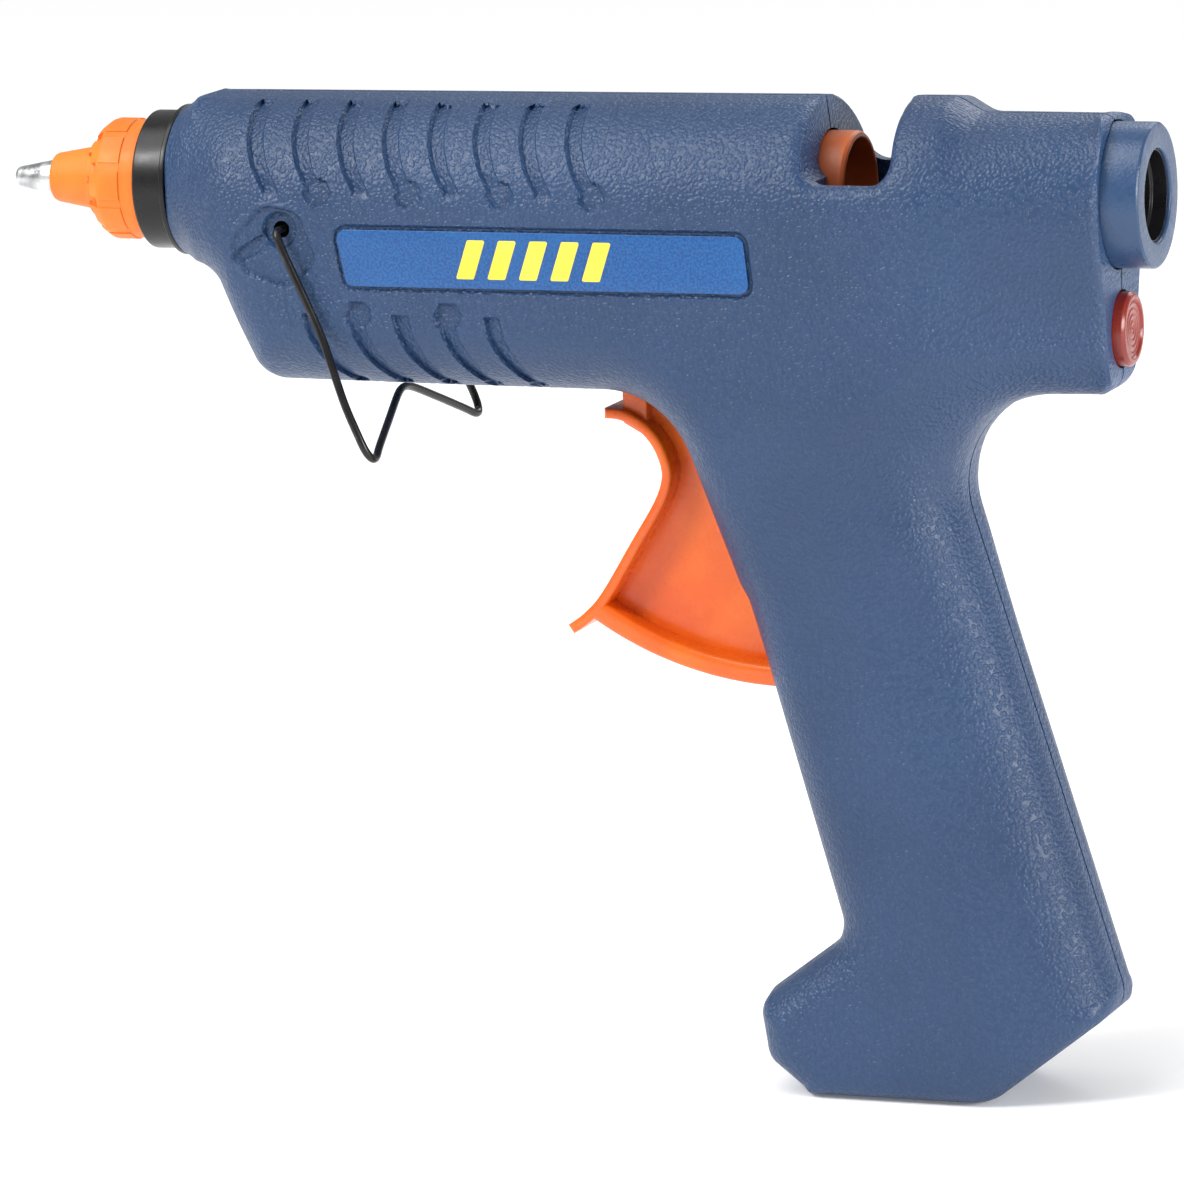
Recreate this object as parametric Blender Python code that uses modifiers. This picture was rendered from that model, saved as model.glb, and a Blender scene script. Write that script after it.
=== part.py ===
"""Hot-melt glue gun with a two-part moulded body, built as an assembly.

World frame: +X points to the stick mouth, -X to the nozzle, +Z up, and Y = 0 is
the parting plane of the body.  The origin is under the middle of the gun's
length, on the plane that the foot of the handle stands on.

Lengths below are millimetres.  Heights called z are measured from the glue
stick's axis, and at() and MM turn both into world metres.
"""
import math

import bmesh
import bpy
import numpy as np
from mathutils import Matrix, Vector
from mathutils.geometry import delaunay_2d_cdt

MM = 0.001
AXIS_Z = 152.6          # height of the glue stick's axis over the foot
GAP = 0.3               # clearance left between neighbouring pieces

# ---- overall -----------------------------------------------------------------
NOZZLE_END = -102.5
COLLAR_END = 102.5
CAP_FRONT = -95.0
WALL = 2.4              # thickness of the body mouldings
BARREL_HALF = 20.8      # half width of the body at the barrel
HANDLE_HALF = 15.5      # half width of the handle
NOSE_HALF = 14.4        # half width of the body at its front face
BODY_FRONT = -69.7
BODY_REAR = 96.0
BODY_TOP = 15.5
BARREL_BOTTOM = -33.7
FOOT = -AXIS_Z

# ---- glue stick path ---------------------------------------------------------
STICK_BORE = 6.0        # clears an 11.2 mm stick
MOUTH_RADIUS = 7.75
COLLAR_RADIUS = 12.1
RING_RADIUS = 12.0
CARRIAGE_RADIUS = 8.5
CARRIAGE_MOUTH = 10.0
CARRIAGE_REAR = 51.0
CARRIAGE_FRONT = 14.0

# ---- trigger -----------------------------------------------------------------
PIVOT_X = 38.3
PIVOT_Z = -20.8
TRIGGER_SWEEP = 63.0    # radius of the trigger's lower edge about its pivot
TRIGGER_HALF = 6.5
WEB_HALF = 1.5
ARM_INNER = 9.6
ARM_OUTER = 12.6
PIN_RADIUS = 2.0

# ---- wire stand --------------------------------------------------------------
STAND_X = -45.6
STAND_Z = -5.6
STAND_WIRE = 0.7
STAND_HALF = 26.4

# ---- rear button -------------------------------------------------------------
BUTTON_Z = -22.3
BUTTON_RADIUS = 6.25
BUTTON_FACE = 98.1

# ---- sloped face at the rear of the foot ---------------------------------------
SLOPE_TOP = (94.9, -136.3)
SLOPE_LOW = (73.7, FOOT)
SOCKET_LENGTH = 14.4    # across the gun
SOCKET_HEIGHT = 9.6

SCREWS = [(-52.0, -23.0), (-27.0, -26.8), (1.0, -26.8), (73.0, -21.5), (68.0, -104.0), (50.5, -141.5)]
SCREW_SHANK = 1.4
SCREW_HEAD = 2.8
SCREW_SEAT = 6.0

# Body outline, clockwise from the top of the nose: x, z, corner radius, and for the
# edge that starts there how far its rounding reaches in and how wide it starts, as
# a share of the half width.
BODY_OUTLINE = [
    (BODY_FRONT, 12.9, 3.0, 8.0, 0.40),
    (-64.8, BODY_TOP, 6.0, 18.0, 0.08),
    (68.6, 16.0, 3.5, 14.0, 0.08),
    (73.2, 13.4, 4.0, 15.0, 0.10),
    (BODY_REAR, 13.4, 2.8, 2.0, 0.93),
    (BODY_REAR, -33.0, 3.6, 9.0, 0.30),
    (63.2, -33.0, 16.0, 9.0, 0.30),
    (SLOPE_TOP[0], SLOPE_TOP[1], 3.4, 4.0, 0.74),
    (SLOPE_LOW[0], SLOPE_LOW[1], 3.2, 3.0, 0.78),
    (41.5, FOOT, 3.4, 5.0, 0.50),
    (33.9, -146.6, 5.0, 6.0, 0.40),
    (32.4, -137.0, 4.6, 7.0, 0.35),
    (47.9, -125.4, 5.0, 9.0, 0.30),
    (31.6, -67.0, 60.0, 9.0, 0.45),
    (20.4, BARREL_BOTTOM, 16.0, 12.0, 0.28),
    (-52.9, -33.0, 6.5, 10.0, 0.28),
    (-61.8, -12.8, 6.0, 6.0, 0.50),
    (BODY_FRONT, -10.9, 3.0, 2.0, 0.86),
]
# Line on the side, from the top down, behind which the body narrows towards its rear.
CREASE = [(66.0, 16.0), (66.5, -25.0), (51.5, -40.0), (47.2, -51.0), (50.8, -62.0), (61.5, -93.7),
          (76.3, -143.6)]
REAR_TAPER = 0.225      # loss of half width for each millimetre behind the crease
BLOCK_TAPER = 0.375     # the same below the collar
NOTCH_OUTLINE = [(44.6, 24.0, 0.5), (47.0, 3.0, 4.0), (62.4, 3.0, 4.0), (60.4, 24.0, 0.5)]
LABEL_OUTLINE = [(-35.2, -5.2, 1.6), (37.2, -5.2, 1.6), (38.2, -14.8, 1.6), (-33.4, -14.8, 1.6)]

# name, colour, roughness, metallic
MATERIALS = {
    "body_plastic": ((0.032, 0.085, 0.19), 0.55, 0.0),
    "orange_silicone": ((0.90, 0.25, 0.03), 0.55, 0.0),
    "orange_plastic": ((0.80, 0.13, 0.01), 0.35, 0.0),
    "black_plastic": ((0.012, 0.012, 0.014), 0.25, 0.0),
    "carriage_plastic": ((0.62, 0.13, 0.03), 0.45, 0.0),
    "red_plastic": ((0.42, 0.03, 0.02), 0.25, 0.0),
    "label_film": ((0.01, 0.13, 0.40), 0.35, 0.0),
    "nozzle_metal": ((0.55, 0.53, 0.50), 0.40, 1.0),
    "cast_aluminium": ((0.60, 0.60, 0.61), 0.45, 1.0),
    "steel": ((0.45, 0.45, 0.47), 0.30, 1.0),
    "brass": ((0.72, 0.52, 0.22), 0.30, 1.0),
    "ceramic": ((0.75, 0.72, 0.66), 0.60, 0.0),
    "silicone_grey": ((0.35, 0.35, 0.36), 0.60, 0.0),
    "lead_jacket": ((0.70, 0.68, 0.62), 0.50, 0.0),
}

PARTS = None
CUTTERS = None


# ==== scene and helpers =========================================================
def clear_scene():
    for obj in list(bpy.data.objects):
        bpy.data.objects.remove(obj, do_unlink=True)
    for collection in list(bpy.data.collections):
        bpy.data.collections.remove(collection)


def new_collection(name, parent=None):
    collection = bpy.data.collections.new(name)
    (parent or bpy.context.scene.collection).children.link(collection)
    return collection


def make_materials():
    for name, (colour, roughness, metallic) in MATERIALS.items():
        material = bpy.data.materials.new(name)
        material.use_nodes = True
        shader = material.node_tree.nodes["Principled BSDF"]
        shader.inputs["Base Color"].default_value = (*colour, 1.0)
        shader.inputs["Roughness"].default_value = roughness
        shader.inputs["Metallic"].default_value = metallic


def at(x, y, z):
    """World point, in metres, of a point given from the stick's axis in millimetres."""
    return Vector((x * MM, y * MM, (z + AXIS_Z) * MM))


def add_object(name, data, material=None, origin=(0.0, 0.0, 0.0), collection=None):
    obj = bpy.data.objects.new(name, data)
    (collection or PARTS).objects.link(obj)
    obj.location = at(*origin)
    if material:
        data.materials.append(bpy.data.materials[material])
    return obj


def as_cutter(obj, collection=None):
    for owner in list(obj.users_collection):
        owner.objects.unlink(obj)
    (collection or CUTTERS).objects.link(obj)
    obj.hide_render = True
    obj.display_type = "WIRE"
    return obj


def finish_mesh(bm, name):
    mesh = bpy.data.meshes.new(name)
    bm.to_mesh(mesh)
    bm.free()
    return mesh


def smooth(obj, angle=32.0):
    obj.data.shade_smooth()
    obj.data.set_sharp_from_angle(angle=math.radians(angle))
    return obj


def box(name, low, high, material=None, origin=(0.0, 0.0, 0.0)):
    """Box between two corners, given from the stick's axis."""
    low = Vector(low)
    high = Vector(high)
    bm = bmesh.new()
    bmesh.ops.create_cube(bm, size=1.0)
    middle = (low + high) / 2.0 - Vector(origin)
    bmesh.ops.scale(bm, vec=(high - low) * MM, verts=bm.verts)
    bmesh.ops.translate(bm, vec=middle * MM, verts=bm.verts)
    return add_object(name, finish_mesh(bm, name), material, origin)


def rod(name, radius, start, end, material=None, origin=(0.0, 0.0, 0.0), sides=24):
    """Solid cylinder from one point to another."""
    start = Vector(start)
    end = Vector(end)
    along = end - start
    turn = along.to_track_quat("Z", "Y").to_matrix().to_4x4()
    place = Matrix.Translation(((start + end) / 2.0 - Vector(origin)) * MM)
    bm = bmesh.new()
    bmesh.ops.create_cone(bm, cap_ends=True, segments=sides, radius1=radius * MM,
                          radius2=radius * MM, depth=along.length * MM, matrix=place @ turn)
    return smooth(add_object(name, finish_mesh(bm, name), material, origin))


def turned(name, profile, material=None, origin=(0.0, 0.0, 0.0), steps=32, closed=True):
    """Solid of revolution about a line along X; profile holds (x, radius), rear to front
    down its outer side, then back along its bore when it is closed."""
    bm = bmesh.new()
    verts = [bm.verts.new((r * MM, 0.0, (x - origin[0]) * MM)) for x, r in profile]
    for first, second in zip(verts, verts[1:]):
        bm.edges.new((first, second))
    if closed:
        bm.edges.new((verts[-1], verts[0]))
    obj = add_object(name, finish_mesh(bm, name), material, origin)
    obj.rotation_euler = (0.0, math.pi / 2.0, 0.0)
    screw = obj.modifiers.new("turn", "SCREW")
    screw.angle = 2.0 * math.pi
    screw.steps = steps
    screw.render_steps = steps
    screw.use_merge_vertices = True
    screw.merge_threshold = 0.00001
    return obj


def rounded(corners, step=14.0):
    """Points of a closed outline whose corners are (x, z, radius, ...).  Any further values
    belong to the edge that starts at the corner, and change evenly along its arc."""
    points = []
    count = len(corners)
    for index, corner in enumerate(corners):
        here = Vector(corner[:2])
        before = (Vector(corners[index - 1][:2]) - here).normalized()
        after = (Vector(corners[(index + 1) % count][:2]) - here).normalized()
        half = before.angle(after) / 2.0
        centre = here + (before + after).normalized() * (corner[2] / math.sin(half))
        start = here + before * (corner[2] / math.tan(half)) - centre
        end = here + after * (corner[2] / math.tan(half)) - centre
        turn = math.atan2(start.cross(end), start.dot(end))
        pieces = max(1, round(abs(math.degrees(turn)) / step))
        for k in range(pieces + 1):
            share = k / pieces
            place = centre + Matrix.Rotation(turn * share, 2) @ start
            values = [p + (q - p) * share for p, q in zip(corners[index - 1][3:], corner[3:])]
            points.append((place.x, place.y, *values))
    return points


def plate(name, outline, y_low, y_high, material=None, origin=(0.0, 0.0, 0.0)):
    """Flat piece of an outline in the XZ plane, between two y values, as a mesh."""
    curve = bpy.data.curves.new(name, "CURVE")
    curve.dimensions = "2D"
    curve.fill_mode = "BOTH"
    curve.extrude = (y_high - y_low) / 2.0 * MM
    spline = curve.splines.new("POLY")
    spline.points.add(len(outline) - 1)
    for point, (x, z) in zip(spline.points, outline):
        point.co = ((x - origin[0]) * MM, (z - origin[2]) * MM, 0.0, 1.0)
    spline.use_cyclic_u = True
    flat = add_object(name + "_outline", curve)
    mesh = mesh_of(flat, name)
    stand_up = Matrix.Rotation(math.pi / 2.0, 4, "X")
    mesh.transform(Matrix.Translation((0.0, (y_low + y_high) / 2.0 * MM, 0.0)) @ stand_up)
    bpy.data.objects.remove(flat, do_unlink=True)
    return add_object(name, mesh, material, origin)


def mesh_of(obj, name):
    """Closed mesh of an object's evaluated shape."""
    bpy.context.view_layer.update()
    evaluated = obj.evaluated_get(bpy.context.evaluated_depsgraph_get())
    mesh = bpy.data.meshes.new_from_object(evaluated)
    mesh.name = name
    bm = bmesh.new()
    bm.from_mesh(mesh)
    bmesh.ops.remove_doubles(bm, verts=bm.verts, dist=0.000005)
    bmesh.ops.recalc_face_normals(bm, faces=bm.faces)
    if bm.calc_volume(signed=True) < 0.0:
        bmesh.ops.reverse_faces(bm, faces=bm.faces)
    bm.to_mesh(mesh)
    bm.free()
    return mesh


def tube(name, points, radius, material, origin=(0.0, 0.0, 0.0), resolution=2):
    """Round wire through the points."""
    curve = bpy.data.curves.new(name, "CURVE")
    curve.dimensions = "3D"
    curve.bevel_depth = radius * MM
    curve.bevel_resolution = resolution
    curve.use_fill_caps = True
    spline = curve.splines.new("POLY")
    spline.points.add(len(points) - 1)
    for point, place in zip(spline.points, points):
        point.co = (*((Vector(place) - Vector(origin)) * MM), 1.0)
    return add_object(name, curve, material, origin)


def smooth_route(knots, per_span=3):
    """Points on one smooth curve through the knots."""
    ends = [knots[0]] + list(knots) + [knots[-1]]
    points = []
    for a, b, c, d in zip(ends, ends[1:], ends[2:], ends[3:]):
        a, b, c, d = Vector(a), Vector(b), Vector(c), Vector(d)
        for k in range(per_span):
            t = k / per_span
            points.append(0.5 * (2 * b + (c - a) * t + (2 * a - 5 * b + 4 * c - d) * t ** 2
                                 + (3 * b - a - 3 * c + d) * t ** 3))
    points.append(Vector(knots[-1]))
    return points


def coil(start, end, radius, turns, per_turn=9):
    """Points of a helical spring whose axis is the line from start to end."""
    start = Vector(start)
    along = Vector(end) - start
    turn = along.to_track_quat("Z", "Y")
    points = []
    for k in range(turns * per_turn + 1):
        angle = 2.0 * math.pi * k / per_turn
        offset = turn @ Vector((radius * math.cos(angle), radius * math.sin(angle), 0.0))
        points.append(start + along * (k / (turns * per_turn)) + offset)
    return points


def combine(target, tool, operation):
    """Boolean modifier with one tool, or with every tool of a collection."""
    modifier = target.modifiers.new(operation.lower(), "BOOLEAN")
    modifier.operation = operation
    modifier.solver = "EXACT"
    if isinstance(tool, bpy.types.Collection):
        modifier.operand_type = "COLLECTION"
        modifier.collection = tool
    else:
        as_cutter(tool)
        modifier.object = tool
    return target


def cut(target, tool):
    return combine(target, tool, "DIFFERENCE")


def join(target, tool):
    return combine(target, tool, "UNION")


# ==== body mouldings ==============================================================
def divided(points, longest):
    """The same closed outline with its long edges divided evenly."""
    result = []
    for first, second in zip(points, points[1:] + points[:1]):
        count = max(1, math.ceil(math.dist(first[:2], second[:2]) / longest))
        for k in range(count):
            result.append(tuple(p + (q - p) * k / count for p, q in zip(first, second)))
    return np.array(result)


def inward(points):
    """Unit vectors that point into the outline, which runs clockwise seen from -Y."""
    ahead = np.roll(points, -1, axis=0)[:, :2] - points[:, :2]
    ahead /= np.linalg.norm(ahead, axis=1)[:, None]
    normals = np.stack([ahead[:, 1], -ahead[:, 0]], axis=1)
    both = normals + np.roll(normals, 1, axis=0)
    return both / (np.einsum("ij,ij->i", both, normals))[:, None]


def edge_distance(places, points):
    """Distance of each place to each edge of the outline, and the nearest share of it."""
    start = points[:, :2]
    along = np.roll(start, -1, axis=0) - start
    offset = places[:, None, :] - start[None, :, :]
    share = np.einsum("ijk,jk->ij", offset, along) / np.einsum("jk,jk->j", along, along)
    share = np.clip(share, 0.0, 1.0)
    gap = offset - share[:, :, None] * along[None, :, :]
    return np.linalg.norm(gap, axis=2), share


def ease(value, low, high):
    t = np.clip((value - low) / (high - low), 0.0, 1.0)
    return t * t * (3.0 - 2.0 * t)


def half_width(places):
    """Half width of the body before its edges are rounded off."""
    x, z = places[:, 0], places[:, 1]
    width = HANDLE_HALF + (BARREL_HALF - HANDLE_HALF) * ease(z, -78.0, -30.0)
    crease_x = np.interp(-z, [-point[1] for point in CREASE], [point[0] for point in CREASE])
    under_collar = ease(-z, 2.0, 24.0) - ease(-z, 36.0, 60.0)
    taper = REAR_TAPER + (BLOCK_TAPER - REAR_TAPER) * under_collar
    width -= taper * np.maximum(x - crease_x, 0.0)
    return width - (BARREL_HALF - NOSE_HALF) * (1.0 - ease(x, BODY_FRONT, -55.0))


def surface(places, outline, wall):
    """How far the body's side stands out from the parting plane at each place."""
    distance, share = edge_distance(places, outline)
    following = np.roll(outline, -1, axis=0)
    reach = outline[:, 2] + share * (following[:, 2] - outline[:, 2]) - wall
    start = outline[:, 3] + share * (following[:, 3] - outline[:, 3])
    inside = np.clip(distance / np.maximum(reach, 0.6), 0.0, 1.0)
    round_off = start + (1.0 - start) * np.sqrt(1.0 - (1.0 - inside) ** 2)
    return (half_width(places) - wall) * round_off.min(axis=1)


def body_places(outline, rings, spacing):
    """Sample places inside the outline: rings that follow its edge, then a grid."""
    kept = outline[:, :2].copy()
    normals = inward(outline)
    low = outline[:, :2].min(axis=0)
    high = outline[:, :2].max(axis=0)
    grid = []
    for row, z in enumerate(np.arange(low[1] + 2.0, high[1], spacing * 0.87)):
        for x in np.arange(low[0] + (row % 2) * spacing / 2.0, high[0], spacing):
            grid.append((x, z))
    layers = [(outline[:, :2] + normals * ring, ring) for ring in rings]
    layers.append((np.array(grid), rings[-1] + spacing * 0.6))
    for layer, depth in layers:
        near = edge_distance(layer, outline)[0].min(axis=1)
        least = min(max(1.4, depth * 0.55), spacing * 0.62)
        for place, distance in zip(layer, near):
            if distance < depth * 0.96 or not within(place, outline):
                continue
            if np.linalg.norm(kept - place, axis=1).min() > least:
                kept = np.vstack([kept, place])
    return kept


def within(place, outline):
    """Whether a place is inside the outline, by counting crossings."""
    x, z = outline[:, 0], outline[:, 1]
    next_x, next_z = np.roll(x, -1), np.roll(z, -1)
    spans = (z > place[1]) != (next_z > place[1])
    with np.errstate(divide="ignore", invalid="ignore"):
        crossing = x + (place[1] - z) * (next_x - x) / (next_z - z)
    return bool(np.count_nonzero(spans & (place[0] < crossing)) % 2)


def half_solid(name, side, wall, rings, spacing, inner_y, material=None):
    """One half of the body as a solid, from inner_y near the parting plane to the
    rounded side surface, moved inwards by the wall thickness."""
    outline = divided(rounded(BODY_OUTLINE, 18.0), 11.0)
    if wall:
        outline[:, :2] += inward(outline) * wall
    places = body_places(outline, rings, spacing)
    count = len(outline)
    found = delaunay_2d_cdt([Vector(p) for p in places], [], [list(range(count))], 1, 0.001)
    corners = np.array([tuple(v) for v in found[0]])
    heights = surface(corners, outline, wall)
    bm = bmesh.new()
    top = []
    for (x, z), height in zip(corners, heights):
        top.append(bm.verts.new(at(x, side * max(height, 1.0), z)))
    for face in found[2]:
        bm.faces.new([top[index] for index in face])
    rim = [top[next(i for i, made in enumerate(found[3]) if k in made)] for k in range(count)]
    foot = [bm.verts.new((v.co.x, side * inner_y * MM, v.co.z)) for v in rim]
    bm.faces.new(foot)
    for k in range(count):
        after = (k + 1) % count
        bm.faces.new((rim[k], rim[after], foot[after], foot[k]))
    bmesh.ops.recalc_face_normals(bm, faces=bm.faces)
    bm.normal_update()
    obj = add_object(name, finish_mesh(bm, name), material)
    obj.location = (0.0, 0.0, 0.0)
    return smooth(obj, 38.0)


def bulkhead(name, x_low, x_high, z_low, bore, ribs):
    """Wall across the body with a bore round the stick's path."""
    wall = box(name, (x_low, -30.0, z_low), (x_high, 30.0, 14.6))
    cut(wall, rod(name + "_bore", bore, (x_low - 1.0, 0, 0), (x_high + 1.0, 0, 0), sides=20))
    as_cutter(wall, ribs)


def body_ribs():
    """Everything inside the mouldings that stays solid when they are hollowed."""
    ribs = new_collection("ribs", CUTTERS)
    bulkhead("support_rib_front", -17.4, -15.2, -12.0, 11.0, ribs)
    bulkhead("support_rib_rear", -11.6, -9.6, -12.0, 11.0, ribs)
    bulkhead("carriage_rib", 15.6, 17.8, -11.0, CARRIAGE_RADIUS + 0.4, ribs)
    bulkhead("notch_front_wall", 43.4, 48.5, -11.0, CARRIAGE_MOUTH + 0.4, ribs)
    bulkhead("notch_rear_wall", 59.0, 64.6, -11.0, 9.9, ribs)
    bulkhead("collar_rib", 89.0, 91.2, -11.0, 9.9, ribs)
    for index, (x, z) in enumerate(SCREWS):
        neck = rod(f"boss_neck_{index}", 3.0, (x, -7.0, z), (x, 7.0, z), sides=12)
        as_cutter(neck, ribs)
        for side in (-1.0, 1.0):
            post = rod(f"boss_{index}_{side:+.0f}", 4.3, (x, side * 5.0, z), (x, side * 24.0, z), sides=14)
            as_cutter(post, ribs)
    for side in (-1.0, 1.0):
        start = (PIVOT_X, side * (ARM_OUTER + 0.6), PIVOT_Z)
        as_cutter(rod(f"pivot_boss_{side:+.0f}", 4.8, start, (PIVOT_X, side * 24.0, PIVOT_Z)), ribs)
        low = (80.3, min(side * 3.2, side * 24.0), BUTTON_Z - 9.0)
        high = (82.5, max(side * 3.2, side * 24.0), BUTTON_Z + 8.0)
        as_cutter(box(f"switch_rib_{side:+.0f}", low, high), ribs)
    return ribs


def slope_frame():
    """Middle of the sloped face, its direction downwards and its outward normal."""
    top = Vector((SLOPE_TOP[0], 0.0, SLOPE_TOP[1]))
    low = Vector((SLOPE_LOW[0], 0.0, SLOPE_LOW[1]))
    down = (low - top).normalized()
    return (top + low) / 2.0, down, Vector((-down.z, 0.0, down.x))


def slope_box(name, half_down, half_across, out_low, out_high, material=None):
    """Box square to the sloped face; distances along its normal are from the face."""
    middle, down, normal = slope_frame()
    middle = middle + normal * (out_low + out_high) / 2.0
    turn = Matrix((down, Vector((0.0, 1.0, 0.0)), normal)).transposed().to_4x4()
    bm = bmesh.new()
    bmesh.ops.create_cube(bm, size=1.0)
    size = Vector((half_down * 2.0, half_across * 2.0, out_high - out_low)) * MM
    bmesh.ops.scale(bm, vec=size, verts=bm.verts)
    bmesh.ops.transform(bm, matrix=turn, verts=bm.verts)
    obj = add_object(name, finish_mesh(bm, name), material)
    obj.location = at(*middle)
    return obj


def body_openings():
    """Every hole and pocket cut in the two mouldings."""
    openings = new_collection("openings", CUTTERS)
    slot_web = [(9.9, -26.0), (9.9, -46.0), (24.3, -62.0), (42.3, -62.0), (42.3, -26.0)]
    slot_flange = [(20.3, -46.8), (20.3, -84.7), (49.3, -84.7), (49.3, -46.8)]
    tools = [
        plate("notch", rounded(NOTCH_OUTLINE), -30.0, 30.0),
        rod("nose_bore", RING_RADIUS - 0.6, (-75.0, 0, 0), (-60.0, 0, 0), sides=32),
        rod("nose_groove", RING_RADIUS + 0.4, (-67.1, 0, 0), (-63.9, 0, 0), sides=32),
        rod("rear_bore", COLLAR_RADIUS + GAP, (91.5, 0, 0), (105.0, 0, 0), sides=32),
        rod("button_bore", BUTTON_RADIUS + GAP, (92.0, 0, BUTTON_Z), (105.0, 0, BUTTON_Z), sides=32),
        plate("web_slot", slot_web, -WEB_HALF - 0.7, WEB_HALF + 0.7),
        plate("flange_slot", slot_flange, -TRIGGER_HALF - 0.5, TRIGGER_HALF + 0.5),
        rod("pin_bore", PIN_RADIUS + GAP, (PIVOT_X, -17.0, PIVOT_Z), (PIVOT_X, 17.0, PIVOT_Z)),
        slope_box("socket_hole", SOCKET_HEIGHT / 2.0, SOCKET_LENGTH / 2.0, -6.0, 4.0),
    ]
    for side in (-1.0, 1.0):
        tag = f"{side:+.0f}"
        hole_end = (STAND_X, side * 26.0, STAND_Z)
        tools.append(rod("stand_hole" + tag, STAND_WIRE + 0.5, (STAND_X, side * 15.0, STAND_Z), hole_end))
        tools.append(rod("stand_seat" + tag, 2.8, (STAND_X, side * (BARREL_HALF - 0.8), STAND_Z), hole_end))
        near, far = sorted((side * (BARREL_HALF - 0.6), side * 26.0))
        tools.append(plate("label_pocket" + tag, grown(rounded(LABEL_OUTLINE), GAP), near, far))
    for index, (x, z) in enumerate(SCREWS):
        shank = rod(f"screw_hole_{index}", SCREW_SHANK + GAP, (x, -11.0, z), (x, 8.0, z), sides=10)
        head = rod(f"screw_head_hole_{index}", SCREW_HEAD + GAP, (x, SCREW_SEAT, z), (x, 26.0, z), sides=14)
        tools += [shank, head]
    for tool in tools:
        as_cutter(tool, openings)
    return openings


def grown(points, distance):
    """Outline moved outwards by a distance."""
    outline = np.array(points)
    return [tuple(p) for p in outline[:, :2] - inward(outline) * distance]


def make_shells():
    ribs = body_ribs()
    openings = body_openings()
    for name, side in (("left_shell", -1.0), ("right_shell", 1.0)):
        shell = half_solid(name, side, 0.0, (0.9, 3.2, 7.5, 12.5), 11.0, GAP / 2.0, "body_plastic")
        cavity = half_solid(name + "_cavity", side, WALL, (1.6, 6.0), 13.0, -2.0)
        cut(cavity, ribs)
        cut(shell, cavity)
        cut(shell, openings)


def make_screws():
    seat = SCREW_SEAT + GAP
    for index, (x, z) in enumerate(SCREWS):
        name = f"shell_screw_{index + 1}"
        screw = rod(name, SCREW_SHANK, (x, -10.0, z), (x, seat + 0.8, z), "steel", (x, 0.0, z), 10)
        join(screw, rod(name + "_head", SCREW_HEAD, (x, seat, z), (x, seat + 2.0, z), sides=14))
        for angle in (45.0, 135.0):
            slot = box(f"{name}_slot_{angle:.0f}", (x - 0.35, seat + 1.0, z - 1.6),
                       (x + 0.35, seat + 3.0, z + 1.6), origin=(x, 0.0, z))
            slot.rotation_euler = (0.0, math.radians(angle), 0.0)
            cut(screw, slot)


# ==== nozzle and melting chamber ====================================================
def make_nozzle():
    turned("nozzle_tip", [
        (-64.6, 4.3), (-72.6, 4.3), (-72.6, 6.5), (-78.8, 6.5), (-78.8, 4.25), (-96.4, 2.9),
        (NOZZLE_END + 0.3, 1.45), (NOZZLE_END, 1.3), (NOZZLE_END, 0.8), (-98.0, 0.8),
        (-93.0, 2.0), (-64.6, 2.6)], "nozzle_metal")
    cap = turned("nozzle_cap", [
        (-76.6, 10.0), (-76.9, 10.2), (-82.9, 10.2), (-83.3, 9.8), (-83.3, 8.0), (-86.6, 7.5),
        (-87.0, 7.1), (-87.0, 5.7), (CAP_FRONT + 0.4, 4.3), (CAP_FRONT, 3.9), (CAP_FRONT, 3.4),
        (-79.2, 4.65), (-79.2, 6.9), (-76.6, 6.9)], "orange_silicone", steps=36)
    pockets = new_collection("cap_pockets", CUTTERS)
    count = 12
    for index in range(count):
        angle = 2.0 * math.pi * (index + 0.5) / count
        pocket = box(f"cap_pocket_{index}", (-85.0, -1.35, 8.6), (-80.4, 1.35, 12.0))
        pocket.rotation_euler = (angle, 0.0, 0.0)
        as_cutter(pocket, pockets)
    cut(cap, pockets)
    turned("heat_ring", [
        (-64.4, 12.0), (-66.9, 12.0), (-66.9, 11.1), (-70.0, 11.1), (-70.0, 12.6), (-70.6, 12.6),
        (-70.8, RING_RADIUS), (-75.8, RING_RADIUS), (-76.3, 11.5), (-76.3, 7.5), (-64.4, 7.5)],
        "black_plastic")


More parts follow.
